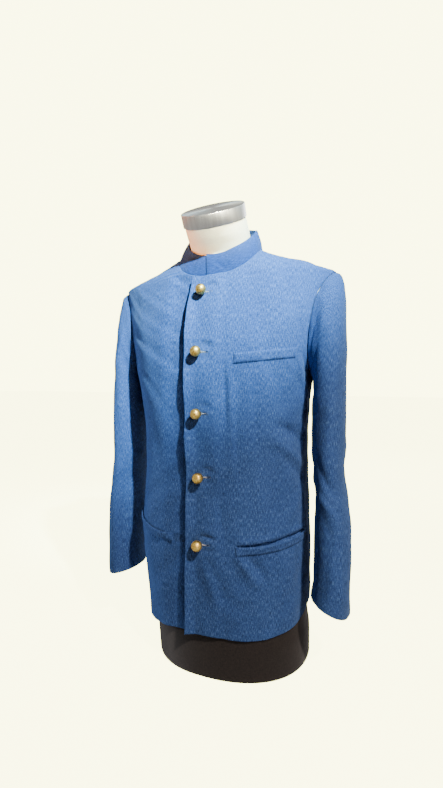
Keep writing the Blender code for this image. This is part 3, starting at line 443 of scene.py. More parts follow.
# The neck cap's radius and height, from the middle of its underside over its rim
CAP_SIDES = 192
CAP_TIP = 0.0004
CAP_PROFILE = (
    (0.0000, 0.0000), (0.0632, 0.0000), (0.0639, 0.0003), (0.0642, 0.0010), (0.0642, 0.0128),
    (0.0642, 0.0238), (0.0639, 0.0249), (0.0630, 0.0255), (0.0600, 0.0256), (0.0592, 0.0252),
    (0.0585, 0.0250), (0.0300, 0.0250), (0.0000, 0.0250),
)
BUTTON_TIP = 0.00001
BUTTON_SIDES = 48
BUTTON_RINGS = 36
SHANK_HEIGHT = 0.0020
SLIT_HALF_HEIGHT = 0.0011
SLIT_POINTS = 40
SLIT_MIDDLE = BUTTONHOLE_START + BUTTONHOLE_LENGTH / 2
SLIT_CUTTER_REACH = (0.006, -0.012)
STITCH_RADIUS = 0.00042
STITCH_POINTS = 240
POINTS_A_STITCH = 4
STITCH_SWELL = 0.22
# How much longer and higher than the slit the ring of stitches is
STITCH_SPREAD = (1.04, 1.35)
STITCH_OUT = 0.0001
# A way that no thread runs in, to turn its ring from
TUBE_ASIDE = (0.0, -0.9, 0.43)
THREAD_RADIUS = 0.00032
THREAD_POINTS = 26
THREAD_REACH = 0.0135
THREAD_REACH_VARIES = 0.0022
THREAD_WAVE = 0.0006
# How far under the cloth a thread starts, and how much deeper it ends
THREAD_UNDER, THREAD_SINK = 0.0012, 0.0008
# Threads that hold a button: where each starts across, how high and how arched
STRANDS = ((0.0018, 0.0002, 0.0030), (0.0030, -0.0005, 0.0022), (0.0012, 0.0007, 0.0026))

BACKGROUND = (1.0, 0.99, 0.45)
BACKGROUND_GLOW = 9.6
FLOOR_GLOW = 8.6
FLOOR_HALF = 30.0
FLOOR_LOW = (0.80, 0.785, 0.55)
FLOOR_HIGH = (0.81, 0.795, 0.56)
FILL_COLOUR = (1.0, 0.72, 0.54)
FILL = 0.075
MIRRORED_COLOUR = (1.0, 0.97, 0.92)
MIRRORED = 0.58
# The photograph's view, worked out from its outlines
CAMERA_TURN, CAMERA_PITCH, CAMERA_ROLL = (math.radians(a) for a in (20.721, 0.936, 0.575))
CAMERA_DISTANCE = 0.9114
CAMERA_ASIDE = -0.0031
CAMERA_HEIGHT = 0.5357
CAMERA_BACK = 0.015
CAMERA_SENSOR = 36
CAMERA_LENS = 430 / 788 * CAMERA_SENSOR
KEY_AIM = Vector((0.045, -0.06, 0.80))
KEY_PLACE = KEY_AIM + Vector((0.58, -0.514, 0.632)) * 2.2
NECK_PLACE = (0.92, -1.96, 0.80)
NECK_AIM = (0.034, -0.07, 0.872)
WARM_PLACE = (-1.3, -0.9, 1.0)
WARM_AIM = (-0.05, -0.04, 0.83)
# A light without a beam is a disk, and one that doesn't mirror leaves no glint
LIGHT_COLUMNS = ("name", "place", "target", "size", "power", "colour", "beam", "blend", "mirrors")
LIGHTS = (
    ("key", KEY_PLACE, KEY_AIM, 0.05, 1330, (0.50, 0.86, 1.0), 15.6, 1.0, True),
    ("key_spill", KEY_PLACE, (0, 0, 0.35), 0.05, 290, (1.0, 0.87, 0.78), 40.0, 1.0, True),
    ("neck_lamp", NECK_PLACE, NECK_AIM, 0.05, 2700, (1.0, 0.97, 0.70), 2.8, 0.10, True),
    ("near_fill", (1.7, -2.0, 0.9), (0.02, 0, 0.40), 1.2, 16, (1.0, 0.86, 0.78), 0, 0, True),
    ("left_fill", (-2.3, -0.15, 0.3), (-0.2, 0, 0.16), 0.6, 46, (0.88, 0.92, 1.0), 0, 0, False),
    ("back_fill", (0.6, 2.4, 1.9), (0, 0, 0.5), 1.4, 30, (0.95, 0.97, 1.0), 0, 0, True),
    ("warm_lamp", WARM_PLACE, WARM_AIM, 0.05, 850, (1.0, 0.26, 0.02), 2, 0.15, True),
)


def column(table, columns, name):
    place = columns.index(name)
    return np.array([row[place] for row in table], float)


def stacked(*parts):
    return np.stack(parts, -1)


def unit(vectors):
    return vectors / np.linalg.norm(vectors, axis=-1, keepdims=True)


def smooth_curve(xs, ys, x):
    """A curve through the points of a table that adds no bumps between them."""
    x = np.clip(x, xs[0], xs[-1])
    step = np.diff(xs)
    slope = np.diff(ys) / step
    tangent = np.zeros(len(xs))
    tangent[0], tangent[-1] = slope[0], slope[-1]
    for i in range(1, len(xs) - 1):
        if slope[i - 1] * slope[i] > 0:
            before = 2 * step[i] + step[i - 1]
            after = step[i] + 2 * step[i - 1]
            tangent[i] = (before + after) / (before / slope[i - 1] + after / slope[i])
    i = np.clip(np.searchsorted(xs, x, side="right") - 1, 0, len(xs) - 2)
    t = (x - xs[i]) / step[i]
    start = (1 + 2 * t) * (1 - t) ** 2 * ys[i] + t * (1 - t) ** 2 * step[i] * tangent[i]
    end = t * t * (3 - 2 * t) * ys[i + 1] + t * t * (t - 1) * step[i] * tangent[i + 1]
    return start + end


def eased(low, high, x):
    """0 below the low value, 1 above the high one and smooth between."""
    t = np.clip((x - low) / (high - low), 0, 1)
    return t * t * (3 - 2 * t)


def bell(distance, width):
    """1 at no distance and almost 0 at two widths."""
    return np.exp(-((distance / width) ** 2))


def body_size(name, z):
    heights = column(BODY, BODY_COLUMNS, "height")
    return smooth_curve(heights, column(BODY, BODY_COLUMNS, name), z)


def settled(points):
    """The shoulders hang unevenly: one side rides up and the other drops."""
    x, z = points[..., 0], points[..., 2]
    drop = np.where(x >= 0, SHOULDER_DROP[1], SHOULDER_DROP[-1])
    drop = drop * eased(*DROP_ACROSS, np.abs(x)) * eased(*DROP_UP, z)
    return stacked(x, points[..., 1], z - drop)


def squared(c, s, square):
    """What a circle's point is multiplied by, to lie on a squarer ring."""
    return (np.abs(c) ** square + np.abs(s) ** square) ** (-1 / square)


def level_point(angle, z):
    """Points of the body surface with level shoulders."""
    angle, z = np.broadcast_arrays(np.asarray(angle, float), np.asarray(z, float))
    c, s = np.cos(angle), np.sin(angle)
    side = body_size("side", z)
    wide = np.where(c >= 0, body_size("left", z), body_size("right", z))
    deep = np.where(s >= 0, body_size("back", z) - side, side - body_size("front", z))
    k = squared(c, s, body_size("square", z))
    return stacked(wide * c * k, side + deep * s * k, z)


def body_point(angle, z):
    return settled(level_point(angle, z))


def on_body(places):
    return body_point(places[..., 0], places[..., 1])


def body_normal(angle, z):
    round_it = body_point(angle + STEP, z) - body_point(angle - STEP, z)
    up_it = body_point(angle, z + STEP) - body_point(angle, z - STEP)
    return unit(np.cross(round_it, up_it))


def angle_from_share(share, square):
    share = np.clip(np.abs(share), 1e-9, 1 - 1e-12)
    return np.arctan((share**-square - 1) ** (1 / square))


def angle_at_x(x, z, front=True):
    x, z = np.broadcast_arrays(np.asarray(x, float), np.asarray(z, float))
    wide = np.where(x >= 0, body_size("left", z), body_size("right", z))
    from_side = angle_from_share(x / wide, body_size("square", z))
    angle = np.where(x >= 0, -from_side, from_side - math.pi)
    return angle if front else -angle


def angle_at_y(y, z):
    side = body_size("side", z)
    deep = np.where(y >= side, body_size("back", z) - side, side - body_size("front", z))
    share = (y - side) / deep
    from_front = angle_from_share(share, body_size("square", z))
    return np.sign(share) * (math.pi / 2 - from_front)


def hem_height(angle):
    degrees = np.degrees(np.arctan2(np.sin(angle), np.cos(angle)))
    heights = column(HEM, HEM_COLUMNS, "height")
    return smooth_curve(column(HEM, HEM_COLUMNS, "angle"), heights, degrees)


def centre_x(z):
    heights = column(CENTRE_LINE, CENTRE_COLUMNS, "height")
    return smooth_curve(heights, column(CENTRE_LINE, CENTRE_COLUMNS, "x"), z)


def inner_x(back, mirror, z):
    """X of a panel's inner edge in the left half: the centre back seam, or a front's
    free edge beyond the centre line."""
    if back:
        return np.zeros_like(z)
    return -UNDERLAP - centre_x(z) if mirror else centre_x(z) - OVERLAP


def ring_height(turn, heights, scoop, back_scoop):
    """Height round an opening with these heights in front, at the sides and behind."""
    front, side, back = heights
    before = front + (side - front) * np.clip(1 - np.cos(turn), 0, 1) ** scoop
    behind = side + (back - side) * (1 - np.abs(np.sin(turn))) ** back_scoop
    return np.where(np.cos(turn) >= -1e-9, before, behind)


def neck_place(turn):
    """Place on the neckline: turn is 0 in front, a quarter on the left, a half behind."""
    turn = np.asarray(turn, float)
    x = NECK_HALF_WIDTH * np.sin(turn)
    z = ring_height(turn, (NECK_FRONT_HEIGHT, NECK_SIDE_HEIGHT, NECK_BACK_HEIGHT), NECK_SCOOP, 1)
    in_front = np.cos(turn) >= -1e-9
    return stacked(np.where(in_front, angle_at_x(x, z), angle_at_x(x, z, front=False)), z)


def neckline_height(angle):
    places = neck_place(np.linspace(0, math.pi, FINE))
    left = np.arctan2(np.sin(angle), np.abs(np.cos(angle)))
    return np.interp(left, places[:, 0], places[:, 1])


def armhole_place(turn):
    """Place of the left armhole: turn is 0 at its lowest point, then rises in front."""
    half_height = (SHOULDER_TIP_HEIGHT - ARMHOLE_BOTTOM) / 2
    c, s = np.cos(turn), np.sin(turn)
    k = squared(c, s, ARMHOLE_SQUARE)
    z = ARMHOLE_BOTTOM + half_height * (1 - c * k)
    y = ARMHOLE_Y - ARMHOLE_HALF_WIDTH * s * k * (1 + ARMHOLE_SCOOP * c)
    at_ends = np.abs(s) < 1e-6
    y = np.where(at_ends, body_size("side", z), y)
    z = np.minimum(z, SHOULDER_TIP_HEIGHT)
    return stacked(np.where(at_ends, 0.0, angle_at_y(y, z)), z)


def walked_along(points):
    return np.r_[0, np.cumsum(np.linalg.norm(np.diff(points, axis=0), axis=1))]


def walked_share(places):
    walked = walked_along(on_body(places))
    return walked / walked[-1]


def steps_at(points, at):
    walked = walked_along(points)
    return np.interp(np.asarray(at) * walked[-1], walked, np.linspace(0, 1, len(points)))


def spread(places, at):
    """The line's places at these shares of its real length."""
    samples = np.linspace(0, 1, len(places))
    even = steps_at(on_body(places), at)
    return stacked(*(np.interp(even, samples, places[:, i]) for i in range(2)))


def turned_places(place_of, low, high, at):
    """Places of a curve at these shares of its real length."""
    return spread(place_of(np.linspace(low, high, FINE)), at)


def up_the_side(low, high, at):
    """Places up the body's side between two heights, at these shares of the way."""
    line = np.linspace(0, 1, FINE)
    return spread(stacked(0 * line, low + (high - low) * line), at)


def joined(*lines):
    return np.concatenate([lines[0]] + [line[1:] for line in lines[1:]])


def shares(cells, start=False, end=False):
    """Even shares from 0 to 1, with closer ones at the ends that are named."""
    cuts = np.array(EDGE_CUTS) / cells
    near = cuts if start else cuts[:0]
    far = 1 - cuts[::-1] if end else cuts[:0]
    return np.sort(np.r_[np.linspace(0, 1, cells + 1), near, far])


def filled(inner, outer, hem, top, start):
    """A grid of places between four edges: rows rise from the hem. It is filled on
    a flat sheet whose width is the body's, measured from the start angle."""

    def flat(places):
        wide = body_size("left", places[..., 1])
        return stacked(wide * (places[..., 0] - start), places[..., 1])

    across = walked_share(hem)[None, :, None]
    up = walked_share(outer)[:, None, None]
    inner, outer, hem, top = (flat(edge) for edge in (inner, outer, hem, top))
    sides = (1 - across) * inner[:, None] + across * outer[:, None]
    ends = (1 - up) * hem[None] + up * top[None]
    corners = (
        (1 - up) * (1 - across) * hem[0]
        + (1 - up) * across * hem[-1]
        + up * (1 - across) * top[0]
        + up * across * top[-1]
    )
    grid = sides + ends - corners
    grid[..., 0] = grid[..., 0] / body_size("left", grid[..., 1]) + start
    return grid


def hem_shares(top_walk, count):
    """The hem is cut like the top: its cells past the centre keep their width."""
    if not count:
        return top_walk / top_walk[-1]
    share = top_walk[count] / HEM_WIDTH
    before = top_walk[: count + 1] / top_walk[count] * share
    rest = top_walk[count:] - top_walk[count]
    return joined(before, share + (1 - share) * rest / rest[-1])


def side_rows(pocket):
    plain = shares(SIDE_CELLS, True)
    if not pocket:
        return plain
    low, high, count = POCKET_ROWS
    rest = plain[(plain < low) | (plain > high)]
    return np.sort(np.r_[rest, np.linspace(low, high, count)])


def panel_places(back, mirror):
    """Grid of a panel in the left half; a front reaches past the centre."""
    sign = 1 if back else -1
    start_turn = math.pi if back else 0.0
    top = turned_places(neck_place, start_turn, math.pi / 2, shares(NECK_CELLS, back, True))
    past = np.zeros(1)
    if not back:
        neck_top = float(top[0, 1])
        past = inner_x(back, mirror, neck_top) * (1 - shares(EXTENSION_CELLS, True))
        z = neck_top - OVERLAP_TOP_DROP * np.abs(past) / OVERLAP
        top = joined(stacked(angle_at_x(past, z), z), top)
    side_low = float(hem_height(math.pi if mirror else 0.0))
    crowded = 1 - (1 - np.linspace(0, 1, ARMHOLE_CELLS + 1)) ** RISE_CROWDING
    over_side = shares(SHOULDER_CELLS, False, True)
    stretches = (
        up_the_side(side_low, ARMHOLE_BOTTOM, side_rows(not back)),
        turned_places(armhole_place, 2 * math.pi if back else 0.0, math.pi, crowded),
        up_the_side(SHOULDER_TIP_HEIGHT, NECK_SIDE_HEIGHT, over_side),
    )
    outer = joined(*stretches)
    low = float(hem_height(sign * math.pi / 2))
    start = float(angle_at_x(inner_x(back, mirror, low), low, not back))
    hem_angle = np.linspace(start, 0.0, FINE)
    height = hem_height(math.pi - hem_angle if mirror else hem_angle)
    hem_at = hem_shares(walked_along(on_body(top)), len(past) - 1)
    hem = spread(stacked(hem_angle, height), hem_at)
    walked = walked_along(on_body(outer))
    ends = np.cumsum([0] + [len(stretch) - 1 for stretch in stretches])
    rows = BACK_ROW_HEIGHTS if back else FRONT_ROW_HEIGHTS
    heights = np.interp(walked, walked[ends], (hem[0, 1], *rows, top[0, 1]))
    inner = stacked(angle_at_x(inner_x(back, mirror, heights), heights, not back), heights)
    hem[0, 0] = inner[0, 0]
    return filled(inner, outer, hem, top, sign * math.pi / 2)


def lengths(points, axis, backward=False):
    """How far each point of a grid is from its first or last edge, along the cloth."""
    if backward:
        points = np.flip(points, axis)
    step = np.linalg.norm(np.diff(points, axis=axis), axis=-1)
    pad = [(0, 0), (0, 0)]
    pad[axis] = (1, 0)
    walked = np.cumsum(np.pad(step, pad), axis=axis)
    return np.flip(walked, axis) if backward else walked


def from_edges(points, *edges):
    """How far each point of a grid is from the nearest of the edges that are named by
    their axis and whether they are its last."""
    return np.min([lengths(points, axis, last) for axis, last in edges], axis=0)


FIRST_ROW, LAST_ROW, FIRST_COLUMN, LAST_COLUMN = (0, False), (0, True), (1, False), (1, True)


def in_metres(table):
    return [tuple(size / 1000 for size in row) for row in table]


def fold_height(table, across, up):
    """How far the folds of a table stand out of the cloth."""
    height = np.zeros(np.broadcast(across, up).shape)
    for start_x, start_y, end_x, end_y, width, out, bow in table:
        run_x, run_y = end_x - start_x, end_y - start_y
        run = math.hypot(run_x, run_y)
        t = ((across - start_x) * run_x + (up - start_y) * run_y) / run**2
        aside = ((up - start_y) * run_x - (across - start_x) * run_y) / run
        aside = aside - bow * 4 * t * (1 - t)
        height += out * bell(aside, width) * np.sin(math.pi * np.clip(t, 0, 1)) ** 0.8
    return height


def wave_height(across, up, seed=0.0):
    height = 0.0
    for rate_x, rate_y, phase, size in WAVES:
        wave = 2 * math.pi * (rate_x * across + rate_y * up) + phase + seed
        height = height + size * np.sin(wave)
    return height


def button_pulls():
    """Short creases beside each button, where the cloth is held."""
    rows = []
    for number, z in enumerate(BUTTON_HEIGHTS):
        more = 1 + PULLS_VARY * math.sin(PULLS_VARY_RATE * number)
        for x, low, end_x, high, width, out, bow, varies in PULLS:
            rows.append((x, z + low, end_x, z + high, width, out * (more if varies else 1), bow))
    return rows


def edge_lift(past, z):
    """The free edge laps over and lifts off between the buttons."""
    nearest = np.min([np.abs(z - height) for height in BUTTON_HEIGHTS], axis=0)
    more = (EDGE_LIFT - EDGE_LIFT_AT_BUTTON) * eased(*BESIDE_BUTTON, nearest)
    over = np.clip((EDGE_LIFT_FROM - past) / (OVERLAP + EDGE_LIFT_FROM), 0, 1.2)
    top = 1 - TOP_HELD * eased(*TOP_HELD_UP, z)
    lap = OVERLAP_LIFT * eased(-LIFT_STARTS, -LIFT_ENDS, -past)
    return lap + (EDGE_LIFT_AT_BUTTON + more) * over**EDGE_LIFT_POWER * top


def flat_across(angle, z, back):
    """Distance across the body from its centre line; the wearer's left is plus."""
    return body_size("left", z) * (math.pi / 2 - angle if back else angle + math.pi / 2)


def welt_ends(welt):
    """Angles of the near and the far end of a welt."""
    return [
        float(angle_at_x(welt["side"] * welt[end + "_x"], welt[end + "_z"]))
        for end in ("near", "far")
    ]


def welt_middle(welt, share):
    """Height of a welt's middle line at a share of its length."""
    sag = welt["sag"] * 4 * share * (1 - share)
    return welt["near_z"] + (welt["far_z"] - welt["near_z"]) * share - sag


def mouth_height(angle, z):
    """The hollow of each lower pocket's mouth, over its welt."""
    height = 0.0
    lip_height, lip_over, lip_width = MOUTH_LIP
    for row in WELTS[1:]:
        welt = dict(zip(WELT_COLUMNS, row))
        near, far = welt_ends(welt)
        share = (angle - near) / (far - near)
        kept = np.clip(share, 0, 1)
        over = z - (welt_middle(welt, kept) + welt["height"] / 2)
        inside = eased(0.0, MOUTH_ENDS[0], share) * (1 - eased(MOUTH_ENDS[1], 1.0, share))
        middle = np.sin(math.pi * kept**MOUTH_LEAN)
        wide = MOUTH_HEIGHT * (MOUTH_END_HEIGHT + (1 - MOUTH_END_HEIGHT) * middle)
        closed = eased(MOUTH_CLOSES * wide, wide, over)
        hollow = eased(*MOUTH_EDGE, over) * (1 - closed)
        lip = lip_height * bell(over - wide - lip_over, lip_width)
        height = height + (lip - MOUTH_DEPTH * hollow) * inside
    return height


def front_relief(angle, z):
    """Height of the fronts' folds at a place of the body."""
    across = flat_across(angle, z, False)
    height = fold_height(in_metres(FRONT_FOLDS), across, z) + wave_height(across, z)
    line = np.interp(z, [p[1] for p in DART], [p[0] for p in DART])
    dart = (np.abs(across) - line) * eased(*DART_WIDENS, z)
    on_dart = eased(*DART_ENDS[:2], z) * (1 - eased(*DART_ENDS[2:], z))
    ridge, hollow = (size * bell(dart, wide) for size, wide in (DART_RIDGE, DART_HOLLOW))
    return height + on_dart * (ridge - hollow) + mouth_height(angle, z)


def left_front_height(relief, angle, z, past):
    """The left front's relief with its pulls, flat at the buttons and lifted at the edge."""
    across = flat_across(angle, z, False) - centre_x(z)
    height = relief + fold_height(button_pulls(), across, z)
    for button in BUTTON_HEIGHTS:
        height = height * eased(*BUTTON_FLAT, np.hypot(past, z - button))
    return height + edge_lift(past, z)


def add_piece(name, mesh, material):
    piece = bpy.data.objects.new(name, mesh)
    mesh.materials.clear()
    mesh.materials.append(material)
    bpy.context.scene.collection.objects.link(piece)
    return piece


def new_mesh(name, points, faces, sharp=None, uv=None):
    """A mesh with smooth faces, sharp where they meet at more than an angle in degrees.
    The places on the cloth come one for each face's corner."""
    mesh = bpy.data.meshes.new(name)
    mesh.from_pydata(np.asarray(points).reshape(-1, 3).tolist(), [], faces)
    if uv is not None:
        layer = mesh.uv_layers.new(name="cloth")
        layer.data.foreach_set("uv", uv.ravel())
    mesh.shade_smooth()
    if sharp:
        mesh.set_sharp_from_angle(angle=math.radians(sharp))
    return mesh


def grid_faces(index):
    """Four-sided faces between the neighbours of a grid of point numbers."""
    corners = index[:-1, :-1], index[:-1, 1:], index[1:, 1:], index[1:, :-1]
    return stacked(*(corner.ravel() for corner in corners))


def numbered(rows, columns, first=0):
    return first + np.arange(rows * columns).reshape(rows, columns)


def ring_faces(rows, columns, first=0):
    """Faces of a solid through closed rings, with flat ends."""
    index = numbered(rows, columns, first)
    sides = grid_faces(np.c_[index, index[:, 0]])
    return sides.tolist() + [index[0, ::-1].tolist(), index[-1].tolist()]


def moved(points):
    return points + np.array([CENTRE_SHIFT, 0, 0])


def shell(name, outer, inner, uv, material):
    """Cloth between an outer and an inner grid of points, with its rim."""
    index = numbered(*outer.shape[:2])
    behind = index.size
    front = grid_faces(index)
    rim = np.r_[index[0, :], index[1:, -1], index[-1, -2::-1], index[-2:0:-1, 0]]
    following = np.roll(rim, -1)
    edge = stacked(following, rim, rim + behind, following + behind)
    faces = np.concatenate([front, front[:, ::-1] + behind, edge])
    flat = np.tile(uv.reshape(-1, 2), (2, 1))[faces]
    mesh = new_mesh(name, np.stack([outer, inner]), faces.tolist(), 50, flat)
    if mesh.polygons[0].normal.dot(Vector((outer - inner)[0, 0])) < 0:
        mesh.flip_normals()
    return add_piece(name, mesh, material)


def pulled_in(points):
    """The grid with its four edges moved in a little."""
    result = points.copy()
    for axis in (0, 1):
        rows = np.moveaxis(points, axis, 0)
        target = np.moveaxis(result, axis, 0)
        for edge, inner in ((0, 1), (-1, -2)):
            inward = rows[inner] - rows[edge]
            inward /= np.maximum(np.linalg.norm(inward, axis=-1, keepdims=True), 1e-9)
            target[edge] += inward * EDGE_PULL
    return result


def edge_shape(seam, free):
    """Seams sink in a little and free edges are rounded."""
    groove, groove_width = SEAM_GROOVE
    drop, round_width = EDGE_ROUND
    return -groove * bell(seam, groove_width) - drop * bell(free, round_width)


def cloth_shell(name, points, normals, soft, edge, uv, material, thick=CLOTH, pull=False):
    """A piece of cloth: its folded outer face, and an inner face one thickness in."""
    faces = [points + normals * height[..., None] for height in (soft + edge, soft - thick)]
    if pull:
        faces = [pulled_in(face) for face in faces]
    outer, inner = (moved(face) for face in faces)
    return shell(name + "_cloth", outer, inner, uv, material)


def panel(name, material):
    back, mirror = name.startswith("back"), name.endswith("right")
    places = panel_places(back, mirror)
    angle = math.pi - places[..., 0] if mirror else places[..., 0]
    z = places[..., 1]
    points = body_point(angle, z)
    past = points[..., 0] - centre_x(z)
    if back:
        seam = from_edges(points, LAST_COLUMN, LAST_ROW, FIRST_COLUMN)
        free = from_edges(points, FIRST_ROW)
        across = flat_across(angle, z, True)
        soft = fold_height(in_metres(BACK_FOLDS), across, z) + wave_height(across, z, seed=2.0)
    else:
        seam = from_edges(points, LAST_COLUMN, LAST_ROW)
        free = from_edges(points, FIRST_ROW, FIRST_COLUMN)
        soft = front_relief(angle, z)
    soft = soft * eased(0.0, SEAM_FADE, seam)
    if name == "front_left":
        soft = left_front_height(soft, angle, z, past)
    elif name == "front_right":
        fade = eased(0.0, UNDER_SINK_FADE, seam)
        soft = soft - UNDER_SINK * eased(*UNDER_SINK_ACROSS, past) * fade
    uv = stacked((-1 if mirror else 1) * flat_across(places[..., 0], z, back), z)
    edge = edge_shape(seam, free)
    return cloth_shell(name, points, body_normal(angle, z), soft, edge, uv, material, pull=True)


def collar_top(turn):
    x = COLLAR_SIDE[0] * np.sin(turn)
    middle = (COLLAR_FRONT[0] + COLLAR_BACK[0]) / 2
    y = middle - (COLLAR_BACK[0] - COLLAR_FRONT[0]) / 2 * np.cos(turn)
    heights = COLLAR_FRONT[1], COLLAR_SIDE[1], COLLAR_BACK[1]
    steepness = np.where(x >= 0, COLLAR_RISE[1], COLLAR_RISE[-1])
    return stacked(x, y, ring_height(turn, heights, steepness, COLLAR_BACK_RISE))


def collar(material):
    start = math.asin(COLLAR_LEFT_END / NECK_HALF_WIDTH)
    end = 2 * math.pi + math.asin(COLLAR_RIGHT_END / NECK_HALF_WIDTH)
    turn = start + (end - start) * shares(COLLAR_CELLS[0], True, True)
    share = shares(COLLAR_CELLS[1], True, True)[:, None]
    places = neck_place(turn)
    slant = COLLAR_SLANT * eased(-COLLAR_SLANT_FADES, 0, turn[0] - turn)
    outward = body_normal(places[:, 0], places[:, 1])
    lift = COLLAR_LIFT * eased(-COLLAR_LIFT_FADES, 0, -NECK_HALF_WIDTH * turn)
    out = COLLAR_BULGE * 4 * share * (1 - share) + lift[None, :]
    points = (1 - share)[..., None] * on_body(places)
    points = points + share[..., None] * collar_top(turn - slant) + outward[None] * out[..., None]
    normals = unit(np.cross(np.gradient(points, axis=1), np.gradient(points, axis=0)))
    facing = points - np.array([0, points[..., 1].mean(), 0])
    facing[..., 2] = 0
    normals = normals * np.sign((normals * facing).sum(-1, keepdims=True))
    seam = lengths(points, 0)
    blend = bell(seam, COLLAR_TURN_FADE)[..., None]
    normals = unit(normals * (1 - blend) + outward[None] * blend)
    free = from_edges(points, LAST_ROW, FIRST_COLUMN, LAST_COLUMN)
    around = NECK_HALF_WIDTH * turn[None, :] + 0 * share
    soft = fold_height(in_metres(COLLAR_FOLDS), around, seam)
    soft = soft + COLLAR_WAVES * wave_height(around, seam, seed=4.0)
    soft = soft * eased(0.0, COLLAR_SEAM_FADE, seam)
    edge, uv = edge_shape(seam, free), stacked(seam, around)
    return cloth_shell("collar", points, normals, soft, edge, uv, material, COLLAR_CLOTH)


def welt(row, material):
    welt = dict(zip(WELT_COLUMNS, row))
    share = shares(WELT_CELLS[0], True, True)[None, :]
    part = shares(WELT_CELLS[1], True, True)[:, None]
    rise = (part - 0.5) * welt["height"]
    near, far = welt_ends(welt)
    angle = near + (far - near) * share
    angle, z = np.broadcast_arrays(angle + 0 * rise, welt_middle(welt, share) + rise)
    normals = body_normal(angle, z)
    across = flat_across(angle, z, False)
    soft = fold_height(in_metres(FRONT_FOLDS), across, z) + wave_height(across, z)
    if welt["name"] != "chest_welt":
        near_end, far_end = WELT_RAISE_ENDS
        inside = eased(0.0, near_end, share) * eased(-1.0, -far_end, -share)
        soft = soft + WELT_RAISE * inside * part**2
    base = body_point(angle, z) + normals * (soft + SEAM_GAP + CLOTH)[..., None]
    free = from_edges(base, FIRST_ROW, LAST_ROW, FIRST_COLUMN, LAST_COLUMN)
    edge = WELT_PUFF * eased(0, WELT_ROUND, free) + edge_shape(1.0, free)
    uv = stacked(across, z)
    return cloth_shell(welt["name"], base, normals, np.zeros(z.shape), edge, uv, material)


def sleeve_ring(turn, down):
    """X, y and z on the sleeve's plain rings, and how far out and how far back it is."""
    c, s = np.cos(turn), np.sin(turn)
    k = squared(c, s, SLEEVE_SQUARE)
    share, deep = 0.5 + 0.5 * c * k, s * k
    rows = np.linspace(0, 1, len(SLEEVE))
    size = {
        name: smooth_curve(rows, column(SLEEVE, SLEEVE_COLUMNS, name), down)
        for name in SLEEVE_COLUMNS
    }
    x = size["inner_x"] + (size["outer_x"] - size["inner_x"]) * share
    z = size["inner_z"] + (size["outer_z"] - size["inner_z"]) * share
    return x, size["mid_y"] + size["half_y"] * deep, z, share, deep


def armhole_edge(turn, side):
    places = armhole_place(np.mod(math.pi + turn, 2 * math.pi))
    angle = places[..., 0] if side > 0 else math.pi - places[..., 0]
    return level_point(angle, places[..., 1]) * np.array([side, 1.0, 1.0])


def sleeve_point(turn, down, side):
    """Outer face of a sleeve: turn is 0 at its outer side and falls towards the front."""
    turn, down = np.broadcast_arrays(np.asarray(turn, float), np.asarray(down, float))
    x, y, z, share, deep = sleeve_ring(turn, down)
    hang = dict(zip(HANG_COLUMNS, HANG[side]))
    low = np.clip(down, 0, 1) ** HANG_POWER
    x = x + hang["outer"] * share**2 * eased(*HANG_OUTER_SPAN, down)
    x = x + (hang["cuff_outer"] * share + hang["inner"] * (1 - share)) * low
    cuff_rise = hang["inner_rise"] * (1 - share) - hang["front_rise"] * deep
    z = z + hang["up"] * low + cuff_rise * low**4
    fade = eased(-ARMHOLE_FADE, 0, -down)[..., None]
    plain = stacked(*sleeve_ring(turn, 0.0)[:3])
    points = stacked(x, y + hang["back"] * low, z) + (armhole_edge(turn, side) - plain) * fade
    return settled(points * np.array([side, 1.0, 1.0]))


def sleeve_normal(turn, down, side):
    turn, down = np.broadcast_arrays(turn, down)
    below = np.maximum(down - STEP, 0)
    round_it = sleeve_point(turn + STEP, down, side) - sleeve_point(turn - STEP, down, side)
    along = sleeve_point(turn, down + STEP, side) - sleeve_point(turn, below, side)
    return unit(np.cross(along, round_it) * side)


def seam_turn(back):
    """Turn of a sleeve seam, which starts at a cell of the solid's armhole."""
    end = 2 * math.pi if back else 0.0
    places = armhole_place(np.linspace(end, math.pi, 200))
    cells, seam = SLEEVE_SEAM_CELLS["back" if back else "front"]
    crowded = 1 - (1 - seam / cells) ** RISE_CROWDING
    at = float(steps_at(on_body(places), [crowded])[0])
    return end + (math.pi - end) * at - math.pi


def sleeve_piece(name, first, last, cells, side, material):
    turn = (first + (last - first) * shares(cells, True, True))[None, :]
    even = shares(SLEEVE_CELLS, True, True)[:, None]
    down = even * (HEAD_CROWDING + (1 - HEAD_CROWDING) * even)
    points = sleeve_point(turn, down, side)
    seam = from_edges(points, FIRST_COLUMN, LAST_COLUMN, FIRST_ROW)
    from_head = lengths(points, 0)
    around, along = SLEEVE_ROUND * turn + 0 * down, SLEEVE_LENGTH * down + 0 * turn
    folds = []
    for row in SLEEVE_FOLDS[side]:
        ends = [
            size for i in (0, 2)
            for size in (SLEEVE_ROUND * math.radians(row[i]), SLEEVE_LENGTH * row[i + 1])
        ]
        folds.append((*ends, *(size / 1000 for size in row[4:])))
    soft = fold_height(folds, around, along) + wave_height(around, along, seed=1.0 + side)
    soft = soft * eased(0.0, SLEEVE_SEAM_FADE, seam)
    height, wave, reach = HEAD_RIPPLE
    head = bell(from_head, reach) * eased(*HEAD_RIPPLE_TURNS, -np.abs(turn))
    swing = np.sin(HEAD_SWING_RATE * turn + HEAD_SWING_PHASE)
    ripple = np.sin(SLEEVE_ROUND * turn * 2 * math.pi / wave) * swing
    soft = soft + height * head * ripple * eased(0.0, HEAD_RIPPLE_FROM, from_head)
    edge = edge_shape(seam, from_edges(points, LAST_ROW))
    uv = stacked(around * side, -along)
    normals = sleeve_normal(turn, down, side)
    return cloth_shell(name, points, normals, soft, edge, uv, material, pull=True)


